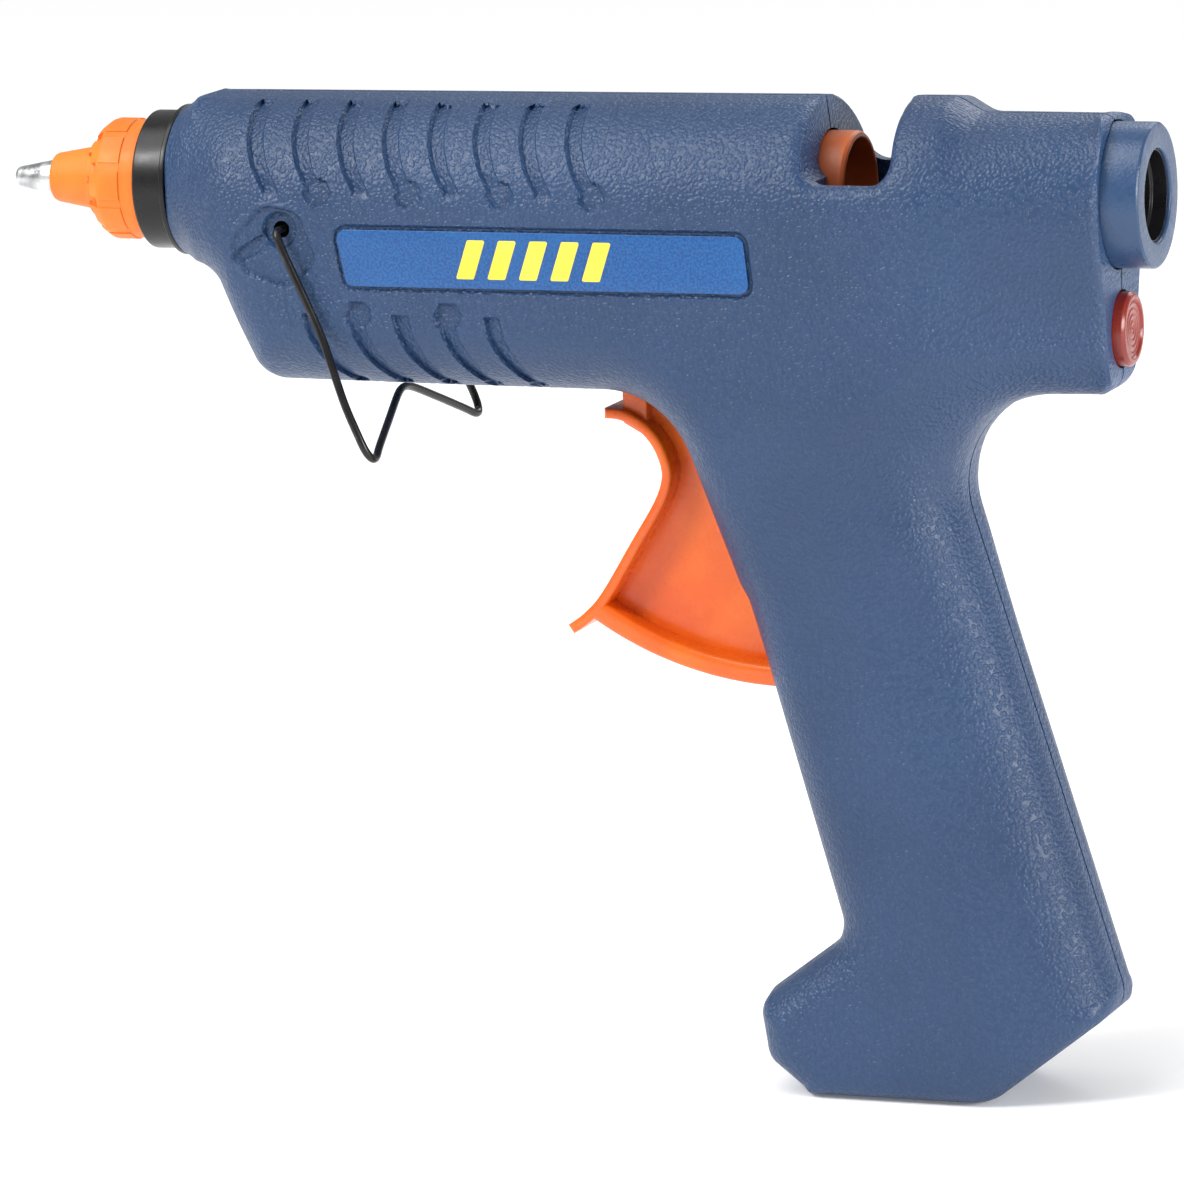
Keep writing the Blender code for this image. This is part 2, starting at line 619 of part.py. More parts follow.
def make_chamber():
    chamber = turned("melt_chamber", [
        (-6.0, 7.0), (-17.8, 7.0), (-18.4, 8.5), (-61.0, 8.5), (-61.6, 7.2), (-72.2, 7.2),
        (-72.2, 4.6), (-64.2, 4.6), (-64.2, 3.0), (-60.0, 3.0), (-50.0, 5.6), (-6.0, STICK_BORE)],
        "cast_aluminium", steps=28)
    # The turned chamber's own axes are turned with it, so its block is joined as a mesh.
    block = box("heater_block", (-52.0, -8.0, -16.0), (-26.0, 8.0, -7.2))
    join(chamber, block)
    cut(chamber, box("heater_pocket", (-60.0, -6.3, -13.9), (-20.0, 6.3, -9.1)))
    turned("chamber_support", [(-11.9, 12.4), (-14.9, 12.4), (-14.9, 7.3), (-11.9, 7.3)],
           "ceramic", steps=24)
    box("ptc_heater", (-49.0, -6.0, -13.6), (-29.0, 6.0, -9.4), "ceramic")
    for index, side in enumerate((-1.0, 1.0)):
        low, high = sorted((side * 1.8, side * 4.2))
        box(f"heater_terminal_{index + 1}", (-28.7, low, -11.8), (-22.5, high, -11.2), "brass")
    clip = box("heater_clip", (-45.0, -9.8, -17.5), (-33.0, 9.8, -16.5), "steel")
    for side in (-1.0, 1.0):
        low, high = sorted((side * 8.9, side * 9.8))
        join(clip, box(f"heater_clip_side{side:+.0f}", (-45.0, low, -17.5), (-33.0, high, -2.5)))
    turned("inlet_sleeve", [
        (6.0, 7.2), (-2.2, 7.2), (-3.2, 9.0), (-9.2, 9.0), (-9.2, 7.3), (-5.7, 7.3),
        (-5.7, STICK_BORE), (6.0, STICK_BORE)], "silicone_grey", steps=24)
    turned("sleeve_clamp", [(-6.4, 10.1), (-7.8, 10.1), (-7.8, 9.3), (-6.4, 9.3)], "steel", steps=24)


# ==== feed ============================================================================
def make_carriage():
    carriage = turned("feed_carriage", [
        (CARRIAGE_REAR, 9.7), (CARRIAGE_REAR - 0.3, CARRIAGE_MOUTH), (44.4, CARRIAGE_MOUTH),
        (42.6, CARRIAGE_RADIUS), (CARRIAGE_FRONT, CARRIAGE_RADIUS), (CARRIAGE_FRONT, 6.3),
        (41.0, 6.3), (47.0, 9.0), (CARRIAGE_REAR, 9.0)], "carriage_plastic",
        origin=(PIVOT_X, 0.0, 0.0), steps=28)
    for side in (-1.0, 1.0):
        tag = f"{side:+.0f}"
        join(carriage, rod("carriage_stud" + tag, 2.0, (PIVOT_X, side * 7.6, 0),
                           (PIVOT_X, side * (ARM_OUTER - 0.2), 0), sides=16))
        low, high = sorted((side * 3.2, side * 5.4))
        join(carriage, box("clamp_ear" + tag, (26.8, low, -14.2), (31.2, high, -6.2)))
    cut(carriage, box("clamp_window", (24.4, -2.95, -15.0), (33.9, 2.95, -3.5)))
    cut(carriage, rod("clamp_pin_bore", 1.15, (29.0, -7.0, -12.0), (29.0, 7.0, -12.0), sides=14))
    pawl = [(25.6, -10.6, 0.5), (30.0, -6.7, 0.3), (32.4, -9.2, 0.5), (33.4, -14.4, 0.8),
            (30.0, -15.2, 0.8), (25.4, -13.4, 0.8)]
    clamp = plate("stick_clamp", rounded(pawl, 30.0), -2.6, 2.6, "steel", (29.0, 0.0, -12.0))
    cut(clamp, rod("clamp_bore", 1.15, (29.0, -7.0, -12.0), (29.0, 7.0, -12.0), sides=14))
    rod("clamp_pin", 0.85, (29.0, -5.4, -12.0), (29.0, 5.4, -12.0), "steel", (29.0, 0.0, -12.0), 12)


def sweep_arc(radius, x_low, x_high, count):
    """Points on a circle about the trigger's pivot, below it."""
    points = []
    for k in range(count + 1):
        x = x_low + (x_high - x_low) * k / count
        points.append((x, PIVOT_Z - math.sqrt(radius ** 2 - (x - PIVOT_X) ** 2)))
    return points


def set_back(line, distance):
    """An open line moved to its left by a distance."""
    moved = []
    for before, here, after in zip([line[0]] + line, line, line[1:] + [line[-1]]):
        along = (Vector(after) - Vector(before)).normalized()
        moved.append((here[0] - along.y * distance, here[1] + along.x * distance))
    return moved


def make_trigger():
    pivot = (PIVOT_X, 0.0, PIVOT_Z)
    flange = 1.8
    face = [(6.6, -38.7), (9.2, -38.9), (12.0, -40.2), (14.4, -42.4), (16.0, -45.4), (16.5, -48.6),
            (15.0, -52.8), (10.9, -59.4), (5.1, -68.7), (1.7, -72.4), (-1.1, -74.4)]
    web_top = [(47.7, -68.8), (43.3, -60.8), (42.3, -28.8), (41.3, -17.8), (35.3, -16.8),
               (15.7, -30.2), (11.3, -30.2), (11.3, -38.9)]
    web_foot = sweep_arc(TRIGGER_SWEEP - flange / 2.0, 3.9, 47.7, 9)
    outline = web_top + set_back(face, flange / 2.0)[2:-2] + web_foot
    trigger = plate("trigger", outline, -WEB_HALF, WEB_HALF, "orange_plastic", pivot)
    band = face + set_back(face, flange)[::-1]
    join(trigger, plate("trigger_face", band, -TRIGGER_HALF, TRIGGER_HALF, None, pivot))
    band = (sweep_arc(TRIGGER_SWEEP, 2.2, 48.3, 9)
            + sweep_arc(TRIGGER_SWEEP - 2.6, 4.2, 48.3, 9)[::-1])
    join(trigger, plate("trigger_sweep", band, -TRIGGER_HALF + 0.02, TRIGGER_HALF - 0.02, None, pivot))
    join(trigger, rod("trigger_hub", 5.0, (PIVOT_X, -ARM_OUTER, PIVOT_Z), (PIVOT_X, ARM_OUTER, PIVOT_Z),
                      origin=pivot, sides=24))
    arm = [(33.5, PIVOT_Z), (33.5, 3.0), (34.7, 4.2), (35.9, 4.2), (35.9, -1.2), (37.1, -2.5),
           (39.5, -2.5), (40.7, -1.2), (40.7, 4.2), (41.5, 4.2), (42.3, 3.0), (42.3, PIVOT_Z)]
    for side in (-1.0, 1.0):
        low, high = sorted((side * ARM_INNER, side * ARM_OUTER))
        join(trigger, plate(f"trigger_arm{side:+.0f}", arm, low, high, None, pivot))
    cut(trigger, rod("trigger_bore", PIN_RADIUS + GAP, (PIVOT_X, -20.0, PIVOT_Z),
                     (PIVOT_X, 20.0, PIVOT_Z), sides=20))
    rod("trigger_pin", PIN_RADIUS, (PIVOT_X, -16.5, PIVOT_Z), (PIVOT_X, 16.5, PIVOT_Z), "steel",
        pivot, 20)
    tube("return_spring", coil((44.9, 0.0, -60.0), (67.4, 0.0, -60.0), 3.2, 7), 0.45, "steel",
         resolution=1)


def make_collar():
    turned("rear_collar", [
        (COLLAR_END, 11.3), (COLLAR_END - 0.8, COLLAR_RADIUS), (92.0, COLLAR_RADIUS), (92.0, 9.5),
        (88.6, 9.5), (88.6, 10.1), (86.4, 10.1), (86.4, 9.5), (66.0, 9.5), (66.0, 7.0), (67.2, 6.1),
        (96.4, 6.1), (97.0, 7.2), (COLLAR_END - 0.4, MOUTH_RADIUS - 0.2), (COLLAR_END, MOUTH_RADIUS)],
        "body_plastic", steps=28)


# ==== stand, labels, button and supply ==================================================
def make_stand():
    side = [(STAND_X, 16.4, STAND_Z), (STAND_X, 21.0, STAND_Z), (-45.3, 22.3, -6.2),
            (-44.0, 22.6, -9.0), (-39.6, 22.6, -18.6), (-37.3, 22.8, -23.6), (-35.4, 24.0, -27.9),
            (-32.4, 26.0, -34.4), (-30.2, STAND_HALF, -39.0), (-29.0, 26.3, -41.8),
            (-28.2, 25.2, -43.5), (-28.1, 23.4, -43.6), (-28.7, 20.8, -42.4), (-30.1, 12.6, -39.2),
            (-31.5, 4.8, -36.2), (-31.9, 2.2, -35.4)]
    other = [(x, -y, z) for x, y, z in reversed(side)]
    route = smooth_route(side + [(-32.0, 0.0, -35.1)] + other, 2)
    tube("wire_stand", route, STAND_WIRE, "black_plastic", (STAND_X, 0.0, STAND_Z))


def make_labels():
    for name, side in (("left_label", -1.0), ("right_label", 1.0)):
        low, high = sorted((side * (BARREL_HALF - 0.3), side * (BARREL_HALF + 0.2)))
        plate(name, rounded(LABEL_OUTLINE, 24.0), low, high, "label_film")


def make_button():
    centre = (0.0, 0.0, BUTTON_Z)
    stem_end = BUTTON_FACE - 10.4
    flange_front = BUTTON_FACE - 6.6
    flange_rear = BUTTON_FACE - 5.0
    profile = [(BUTTON_FACE - 0.4, 0.0), (BUTTON_FACE - 0.4, 4.3), (BUTTON_FACE, 5.0),
               (BUTTON_FACE, 5.8), (BUTTON_FACE - 0.5, BUTTON_RADIUS), (flange_rear, BUTTON_RADIUS),
               (flange_rear, 6.95), (flange_front, 6.95), (flange_front, 1.8), (stem_end, 1.8),
               (stem_end, 0.0)]
    turned("power_button", profile, "red_plastic", centre, 24, closed=False)
    switch = box("switch_body", (83.0, -5.0, BUTTON_Z - 5.7), (88.9, 5.0, BUTTON_Z + 5.7), "black_plastic")
    cut(switch, rod("plunger_bore", 2.2, (85.3, 0, BUTTON_Z), (95.0, 0, BUTTON_Z), sides=16))
    tube("button_spring", coil((89.5, 0, BUTTON_Z), (90.9, 0, BUTTON_Z), 3.2, 1), 0.3, "steel",
         resolution=1)
    for index, height in enumerate((-3.6, 3.6)):
        z = BUTTON_Z + height
        box(f"switch_terminal_{index + 1}", (78.5, -1.3, z - 0.3), (82.7, 1.3, z + 0.3), "brass")


def slope_place(down, across, out):
    middle, along, normal = slope_frame()
    return middle + along * down + Vector((0.0, across, 0.0)) + normal * out


def make_inlet():
    inlet = slope_box("power_inlet", SOCKET_HEIGHT / 2 - GAP, SOCKET_LENGTH / 2 - GAP, -14.0, -0.4,
                      "black_plastic")
    join(inlet, slope_box("inlet_flange", SOCKET_HEIGHT / 2 + 1.4, SOCKET_LENGTH / 2 + 0.7, -5.6, -2.8))
    cut(inlet, slope_box("inlet_socket", 3.2, 5.8, -11.6, 4.0))
    for index, side in enumerate((-1.0, 1.0)):
        start, end = slope_place(0.0, side * 3.2, -17.0), slope_place(0.0, side * 3.2, -3.4)
        bore_end = slope_place(0.0, side * 3.2, -9.0)
        cut(inlet, rod(f"inlet_pin_bore_{index}", 1.45, slope_place(0.0, side * 3.2, -20.0), bore_end,
                       sides=14))
        rod(f"inlet_pin_{index + 1}", 1.1, start, end, "brass", sides=12)


def make_leads():
    """Three insulated leads, clipped along the inside of the mouldings."""
    live_pin = tuple(slope_place(0.0, -3.2, -18.4))
    neutral_pin = tuple(slope_place(0.0, 3.2, -18.4))
    live = [live_pin, (70.0, -6.0, -127.0), (74.8, -7.2, -112.0), (74.2, -7.4, -98.0), (65.0, -7.8, -74.0),
            (60.0, -8.4, -54.0), (64.0, -6.0, -41.0), (71.0, -1.5, -32.5), (77.2, 0.0, -26.2)]
    switched = [(77.2, 0.0, -18.3), (75.0, -2.0, -14.6), (70.0, -8.0, -14.0), (60.0, -15.4, -14.0),
                (48.0, -15.6, -14.0), (32.0, -15.6, -14.0), (20.0, -15.2, -16.5), (8.0, -14.0, -19.5),
                (-8.0, -13.0, -19.8), (-16.0, -10.0, -16.0), (-21.2, -3.0, -11.5)]
    neutral = [neutral_pin, (70.0, 6.0, -127.0), (74.8, 7.2, -112.0), (74.2, 7.4, -98.0), (65.0, 7.8, -74.0),
               (59.5, 9.0, -52.0), (60.0, 12.6, -32.0), (58.0, 15.0, -18.0), (50.0, 15.6, -14.0),
               (32.0, 15.6, -14.0), (20.0, 15.2, -16.5), (8.0, 14.0, -19.5), (-8.0, 13.0, -19.8),
               (-16.0, 10.0, -16.0), (-21.2, 3.0, -11.5)]
    for name, knots in (("lead_live", live), ("lead_switched", switched), ("lead_neutral", neutral)):
        tube(name, smooth_route(knots, 2), 1.0, "lead_jacket")


def build():
    global PARTS, CUTTERS
    clear_scene()
    PARTS = new_collection("glue_gun")
    CUTTERS = new_collection("cutters")
    make_materials()
    make_shells()
    make_screws()
    make_nozzle()
    make_chamber()
    make_carriage()
    make_trigger()
    make_collar()
    make_stand()
    make_labels()
    make_button()
    make_inlet()
    make_leads()


build()
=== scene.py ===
"""Looks of the hot-melt glue gun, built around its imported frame.

+X points to the stick mouth, -X to the nozzle, +Z up, and Y = 0 is the parting plane.
Lengths below are millimetres.  Heights called z are measured from the glue stick's
axis, and at() turns a point into world metres.
"""
import math

import bmesh
import bpy
import numpy as np
from mathutils import Matrix, Vector
from mathutils.geometry import delaunay_2d_cdt
from mathutils.kdtree import KDTree


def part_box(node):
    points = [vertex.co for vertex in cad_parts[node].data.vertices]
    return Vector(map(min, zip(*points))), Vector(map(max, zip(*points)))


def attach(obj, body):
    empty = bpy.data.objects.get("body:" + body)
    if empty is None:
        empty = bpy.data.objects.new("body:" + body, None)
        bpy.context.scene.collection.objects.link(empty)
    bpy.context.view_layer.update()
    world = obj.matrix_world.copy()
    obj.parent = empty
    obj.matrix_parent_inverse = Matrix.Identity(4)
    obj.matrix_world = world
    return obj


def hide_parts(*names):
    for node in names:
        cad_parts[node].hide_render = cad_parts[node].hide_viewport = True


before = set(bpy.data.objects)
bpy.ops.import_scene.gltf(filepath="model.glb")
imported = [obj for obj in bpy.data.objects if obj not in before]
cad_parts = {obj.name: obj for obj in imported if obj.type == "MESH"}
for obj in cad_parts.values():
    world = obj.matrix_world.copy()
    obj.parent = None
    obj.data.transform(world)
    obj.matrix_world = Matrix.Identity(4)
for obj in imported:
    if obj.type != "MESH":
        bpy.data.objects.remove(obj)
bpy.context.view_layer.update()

MM = 0.001


def node_middle(name):
    low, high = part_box(name)
    return (low + high) / 2.0 / MM


# ---- places taken from the frame ----------------------------------------------------
AXIS_Z = node_middle("heat_ring").z
PIVOT = node_middle("trigger_pin") - Vector((0.0, 0.0, AXIS_Z))
STAND_HOLE = (-45.6, -5.6)
FOOT = -AXIS_Z

# ---- body --------------------------------------------------------------------------
WALL = 2.4
BARREL_HALF = 20.8
HANDLE_HALF = 15.5
NOSE_HALF = 14.4
NOSE_RADIUS = 12.9
BODY_FRONT = -69.7
BODY_REAR = 96.0
BODY_TOP = 15.5
BARREL_BOTTOM = -33.7
SLOPE_TOP = (94.9, -136.3)
SLOPE_LOW = (73.7, FOOT)
SEAM_HALF = 0.28
RING_RADIUS = 12.0
COLLAR_RADIUS = 12.1
COLLAR_END = 102.5
BUTTON_Z = -22.3
BUTTON_RADIUS = 6.25
BUTTON_FACE = 98.1
CAP_POCKETS = 10
CAP_FRONT = -95.0
GAP = 0.3

# Outline, clockwise from the top of the nose: x, z, corner radius, and for the edge that
# starts there how far its rounding reaches in and how wide it starts, as a share.
BODY_OUTLINE = [
    (BODY_FRONT, 12.6, 1.0, 8.0, 0.40),
    (-64.8, BODY_TOP, 6.0, 18.0, 0.08),
    (68.6, 16.0, 3.5, 14.0, 0.08),
    (73.2, 13.4, 4.0, 15.0, 0.10),
    (BODY_REAR, 13.4, 2.8, 2.0, 0.93),
    (BODY_REAR, -33.0, 3.6, 9.0, 0.30),
    (63.2, -33.0, 16.0, 9.0, 0.30),
    (SLOPE_TOP[0], SLOPE_TOP[1], 5.0, 4.0, 0.70),
    (SLOPE_LOW[0], SLOPE_LOW[1], 9.0, 3.0, 0.70),
    (41.5, FOOT, 3.4, 5.0, 0.50),
    (33.9, -146.6, 5.0, 6.0, 0.40),
    (32.4, -137.0, 4.6, 7.0, 0.35),
    (47.9, -125.4, 5.0, 9.0, 0.30),
    (31.6, -67.0, 60.0, 9.0, 0.45),
    (20.4, BARREL_BOTTOM, 16.0, 12.0, 0.28),
    (-52.9, -33.0, 6.5, 10.0, 0.28),
    (-62.6, -13.4, 6.0, 6.0, 0.50),
    (BODY_FRONT, -12.4, 1.0, 2.0, 0.86),
]
# Line on the side behind which the body narrows towards its rear.
CREASE = [(66.0, 16.0), (66.5, -25.0), (51.5, -40.0), (47.2, -51.0), (50.8, -62.0), (61.5, -93.7),
          (76.3, -143.6)]
REAR_TAPER = 0.225
BLOCK_TAPER = 0.375
NOTCH_OUTLINE = [(44.6, 24.0, 0.5), (47.0, 3.0, 4.0), (62.4, 3.0, 4.0), (60.4, 24.0, 0.5)]
LABEL_OUTLINE = [(-35.2, -5.2, 1.6), (37.2, -5.2, 1.6), (38.2, -14.8, 1.6), (-33.4, -14.8, 1.6)]
PAD_OUTLINE = [(-54.6, -7.6, 2.0), (-48.4, -1.2, 3.5), (-42.0, -2.4, 3.0), (-38.6, -11.0, 3.0),
               (-44.0, -15.4, 3.0), (-51.6, -13.0, 2.0)]
SCREWS = [(-52.0, -23.0), (-27.0, -26.8), (1.0, -26.8), (73.0, -21.5), (68.0, -104.0), (50.5, -141.5)]

# ---- louvre grooves ------------------------------------------------------------------
UPPER_STARTS = [-53.6 + 8.2 * k for k in range(8)]
UPPER_PATH = [(0.0, 14.2), (0.7, 10.8), (1.4, 8.5), (2.9, 4.9), (5.2, 1.1)]
LOWER_STARTS = [-41.7 + 8.15 * k for k in range(5)]
LOWER_PATH = [(0.0, -20.0), (0.8, -23.4), (2.4, -27.0), (4.4, -30.2), (5.4, -31.6)]
GROOVE_WIDTH = 2.9
GROOVE_DEPTH = 1.0
BULB = 1.0              # how much wider the round end of every other groove is


# ==== small helpers ======================================================================
def at(x, y, z):
    return Vector((x * MM, y * MM, (z + AXIS_Z) * MM))


def add_object(name, data, material=None):
    obj = bpy.data.objects.new(name, data)
    bpy.context.scene.collection.objects.link(obj)
    if material:
        data.materials.append(bpy.data.materials[material])
    return obj


def finish_mesh(bm, name):
    bmesh.ops.recalc_face_normals(bm, faces=bm.faces)
    if bm.calc_volume(signed=True) < 0.0:
        bmesh.ops.reverse_faces(bm, faces=bm.faces)
    mesh = bpy.data.meshes.new(name)
    bm.to_mesh(mesh)
    bm.free()
    return mesh


def smooth(obj, angle=35.0):
    obj.data.shade_smooth()
    obj.data.set_sharp_from_angle(angle=math.radians(angle))
    return obj


def applied(obj, weld=0.002):
    """The object with its modifiers applied, as one mesh welded within a distance."""
    bpy.context.view_layer.update()
    evaluated = obj.evaluated_get(bpy.context.evaluated_depsgraph_get())
    mesh = bpy.data.meshes.new_from_object(evaluated)
    bm = bmesh.new()
    bm.from_mesh(mesh)
    bmesh.ops.remove_doubles(bm, verts=bm.verts, dist=weld * MM)
    bm.to_mesh(mesh)
    bm.free()
    mesh.name = obj.name
    name = obj.name
    bpy.data.objects.remove(obj, do_unlink=True)
    result = bpy.data.objects.new(name, mesh)
    bpy.context.scene.collection.objects.link(result)
    return smooth(result)


def combined(target, tools, operation, weld=0.002):
    """The target joined with, or cut by, every tool; the tools are used up."""
    group = bpy.data.collections.new(target.name + "_tools")
    bpy.context.scene.collection.children.link(group)
    for tool in tools:
        for owner in list(tool.users_collection):
            owner.objects.unlink(tool)
        group.objects.link(tool)
    modifier = target.modifiers.new("combine", "BOOLEAN")
    modifier.operation = operation
    modifier.solver = "EXACT"
    modifier.operand_type = "COLLECTION"
    modifier.collection = group
    result = applied(target, weld)
    for tool in tools:
        bpy.data.objects.remove(tool, do_unlink=True)
    bpy.data.collections.remove(group)
    return result


def ride(piece, body, slot, *nodes):
    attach(piece, body)
    if nodes:
        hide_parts(*nodes)
    return piece


def rounded(corners, step=10.0):
    """Points of a closed outline whose corners are (x, z, radius, ...).  Any further values
    belong to the edge that starts at the corner, and change evenly along its arc."""
    points = []
    count = len(corners)
    for index, corner in enumerate(corners):
        here = Vector(corner[:2])
        if corner[2] <= 0.0:
            points.append((here.x, here.y, *corner[3:]))
            continue
        before = (Vector(corners[index - 1][:2]) - here).normalized()
        after = (Vector(corners[(index + 1) % count][:2]) - here).normalized()
        half = before.angle(after) / 2.0
        centre = here + (before + after).normalized() * (corner[2] / math.sin(half))
        start = here + before * (corner[2] / math.tan(half)) - centre
        end = here + after * (corner[2] / math.tan(half)) - centre
        turn = math.atan2(start.cross(end), start.dot(end))
        pieces = max(1, round(abs(math.degrees(turn)) / step))
        for k in range(pieces + 1):
            share = k / pieces
            place = centre + Matrix.Rotation(turn * share, 2) @ start
            values = [p + (q - p) * share for p, q in zip(corners[index - 1][3:], corner[3:])]
            points.append((place.x, place.y, *values))
    return points


def bent_route(knots, reach=2.4, pieces=6):
    """Straight runs between the knots, with a short even bend at each."""
    points = [Vector(knots[0])]
    for before, here, after in zip(knots, knots[1:], knots[2:]):
        before, here, after = Vector(before), Vector(here), Vector(after)
        first = here + (before - here) * min(0.5, reach / (before - here).length)
        last = here + (after - here) * min(0.5, reach / (after - here).length)
        for k in range(pieces + 1):
            t = k / pieces
            points.append(first * (1 - t) ** 2 + here * 2 * t * (1 - t) + last * t ** 2)
    return points + [Vector(knots[-1])]


def revolved(name, corners, material, steps=96, centre_z=0.0, step=15.0):
    """Solid of revolution about a line along X; corners are (x, radius, fillet)."""
    profile = rounded(corners, step)
    bm = bmesh.new()
    rings = []
    for k in range(steps):
        angle = 2.0 * math.pi * k / steps
        rings.append([bm.verts.new(at(x, r * math.sin(angle), centre_z + r * math.cos(angle)))
                      for x, r in profile])
    for ring, following in zip(rings, rings[1:] + rings[:1]):
        for k in range(len(profile)):
            after = (k + 1) % len(profile)
            bm.faces.new((ring[k], ring[after], following[after], following[k]))
    bmesh.ops.remove_doubles(bm, verts=bm.verts, dist=0.0000005)
    return smooth(add_object(name, finish_mesh(bm, name), material))


def plate(name, outline, y_low, y_high, material=None, bevel=0.0):
    """Piece of an outline in the XZ plane, between two y values, with rounded edges."""
    curve = bpy.data.curves.new(name, "CURVE")
    curve.dimensions = "2D"
    curve.fill_mode = "BOTH"
    curve.extrude = ((y_high - y_low) / 2.0 - bevel) * MM
    curve.bevel_depth = bevel * MM
    curve.offset = -bevel * MM
    curve.bevel_resolution = 2
    spline = curve.splines.new("POLY")
    spline.points.add(len(outline) - 1)
    for point, place in zip(spline.points, outline):
        point.co = (place[0] * MM, place[1] * MM, 0.0, 1.0)
    spline.use_cyclic_u = True
    flat = bpy.data.objects.new(name + "_outline", curve)
    bpy.context.scene.collection.objects.link(flat)
    bpy.context.view_layer.update()
    evaluated = flat.evaluated_get(bpy.context.evaluated_depsgraph_get())
    mesh = bpy.data.meshes.new_from_object(evaluated)
    bpy.data.objects.remove(flat, do_unlink=True)
    mesh.transform(Matrix.Translation(at(0.0, (y_low + y_high) / 2.0, 0.0))
                   @ Matrix.Rotation(math.pi / 2.0, 4, "X"))
    bm = bmesh.new()
    bm.from_mesh(mesh)
    bmesh.ops.remove_doubles(bm, verts=bm.verts, dist=0.000002)
    return smooth(add_object(name, finish_mesh(bm, name), material))


def rod(name, radius, start, end, sides=48):
    along = Vector(end) - Vector(start)
    turn = along.to_track_quat("Z", "Y").to_matrix().to_4x4()
    middle = (Vector(start) + Vector(end)) / 2.0
    bm = bmesh.new()
    bmesh.ops.create_cone(bm, cap_ends=True, segments=sides, radius1=radius * MM, radius2=radius * MM,
                          depth=along.length * MM, matrix=Matrix.Translation(at(*middle)) @ turn)
    return smooth(add_object(name, finish_mesh(bm, name)))


def block(name, low, high, turn=None):
    """Box between two corners, turned about the stick's axis if asked."""
    low, high = Vector(low), Vector(high)
    bm = bmesh.new()
    bmesh.ops.create_cube(bm, size=1.0)
    bmesh.ops.scale(bm, vec=(high - low) * MM, verts=bm.verts)
    bmesh.ops.translate(bm, vec=(low + high) / 2.0 * MM, verts=bm.verts)
    if turn:
        bmesh.ops.rotate(bm, matrix=Matrix.Rotation(turn, 3, "X"), verts=bm.verts)
    bmesh.ops.translate(bm, vec=at(0, 0, 0), verts=bm.verts)
    return add_object(name, finish_mesh(bm, name))


def smooth_route(knots, per_span=6):
    """Points on one smooth curve through the knots."""
    ends = [knots[0]] + list(knots) + [knots[-1]]
    points = []
    for a, b, c, d in zip(ends, ends[1:], ends[2:], ends[3:]):
        a, b, c, d = Vector(a), Vector(b), Vector(c), Vector(d)
        for k in range(per_span):
            t = k / per_span
            points.append(0.5 * (2 * b + (c - a) * t + (2 * a - 5 * b + 4 * c - d) * t ** 2
                                 + (3 * b - a - 3 * c + d) * t ** 3))
    points.append(Vector(knots[-1]))
    return points


# ==== materials =============================================================================
class Surface:
    """A Principled material and the helpers that link nodes into it."""

    def __init__(self, name, metallic=0.0, coat=0.0):
        self.material = bpy.data.materials.new(name)
        self.material.use_nodes = True
        self.tree = self.material.node_tree
        self.shader = self.tree.nodes["Principled BSDF"]
        self.shader.inputs["Metallic"].default_value = metallic
        self.shader.inputs["Coat Weight"].default_value = coat
        self.shader.inputs["Coat Roughness"].default_value = 0.12
        self.place = self.tree.nodes.new("ShaderNodeTexCoord").outputs["Object"]

    def node(self, kind, **values):
        made = self.tree.nodes.new(kind)
        for key, value in values.items():
            if key in made.inputs:
                made.inputs[key].default_value = value
            else:
                setattr(made, key, value)
        return made

    def link(self, source, target):
        self.tree.links.new(source, target)

    def noise(self, scale, detail=4.0, place=None):
        made = self.node("ShaderNodeTexNoise", Scale=scale, Detail=detail)
        self.link(place or self.place, made.inputs["Vector"])
        return made.outputs["Fac"]

    def pebbles(self, scale):
        """Distance to the middle of irregular rounded cells, bent by noise."""
        bend = self.node("ShaderNodeTexNoise", Scale=scale * 0.7, Detail=2.0)
        self.link(self.place, bend.inputs["Vector"])
        mixed = self.node("ShaderNodeVectorMath", operation="MULTIPLY_ADD")
        self.link(bend.outputs["Color"], mixed.inputs[0])
        mixed.inputs[1].default_value = (1.1 / scale,) * 3
        self.link(self.place, mixed.inputs[2])
        made = self.node("ShaderNodeTexVoronoi", Scale=scale, feature="SMOOTH_F1", Smoothness=0.35)
        self.link(mixed.outputs["Vector"], made.inputs["Vector"])
        return made.outputs["Distance"]

    def ramp(self, value, low, high, to_low=0.0, to_high=1.0, kind="SMOOTHSTEP"):
        made = self.node("ShaderNodeMapRange", interpolation_type=kind)
        self.link(value, made.inputs["Value"])
        for key, number in (("From Min", low), ("From Max", high), ("To Min", to_low), ("To Max", to_high)):
            made.inputs[key].default_value = number
        return made.outputs["Result"]

    def mix(self, first, second, share):
        """Colour between two, each a colour or an output."""
        made = self.node("ShaderNodeMix", data_type="RGBA")
        for socket, value in ((made.inputs[6], first), (made.inputs[7], second)):
            if isinstance(value, tuple):
                socket.default_value = (*value, 1.0)
            else:
                self.link(value, socket)
        self.link(share, made.inputs[0])
        return made.outputs[2]

    def colour(self, output):
        self.link(output, self.shader.inputs["Base Color"])

    def roughness(self, scale, low, high):
        spread = self.ramp(self.noise(scale), 0.3, 0.7, low, high, "LINEAR")
        self.link(spread, self.shader.inputs["Roughness"])

    def worn(self, base, light, amount=0.5):
        """The colour, lighter where the surface turns sharply outwards."""
        edge = self.node("ShaderNodeNewGeometry").outputs["Pointiness"]
        return self.mix(base, light, self.ramp(edge, 0.515, 0.60, 0.0, amount))

    def bump(self, height, depth, strength=1.0, under=None):
        made = self.node("ShaderNodeBump", Strength=strength, Distance=depth * MM)
        self.link(height, made.inputs["Height"])
        if under:
            self.link(under, made.inputs["Normal"])
        self.link(made.outputs["Normal"], self.shader.inputs["Normal"])
        return made.outputs["Normal"]


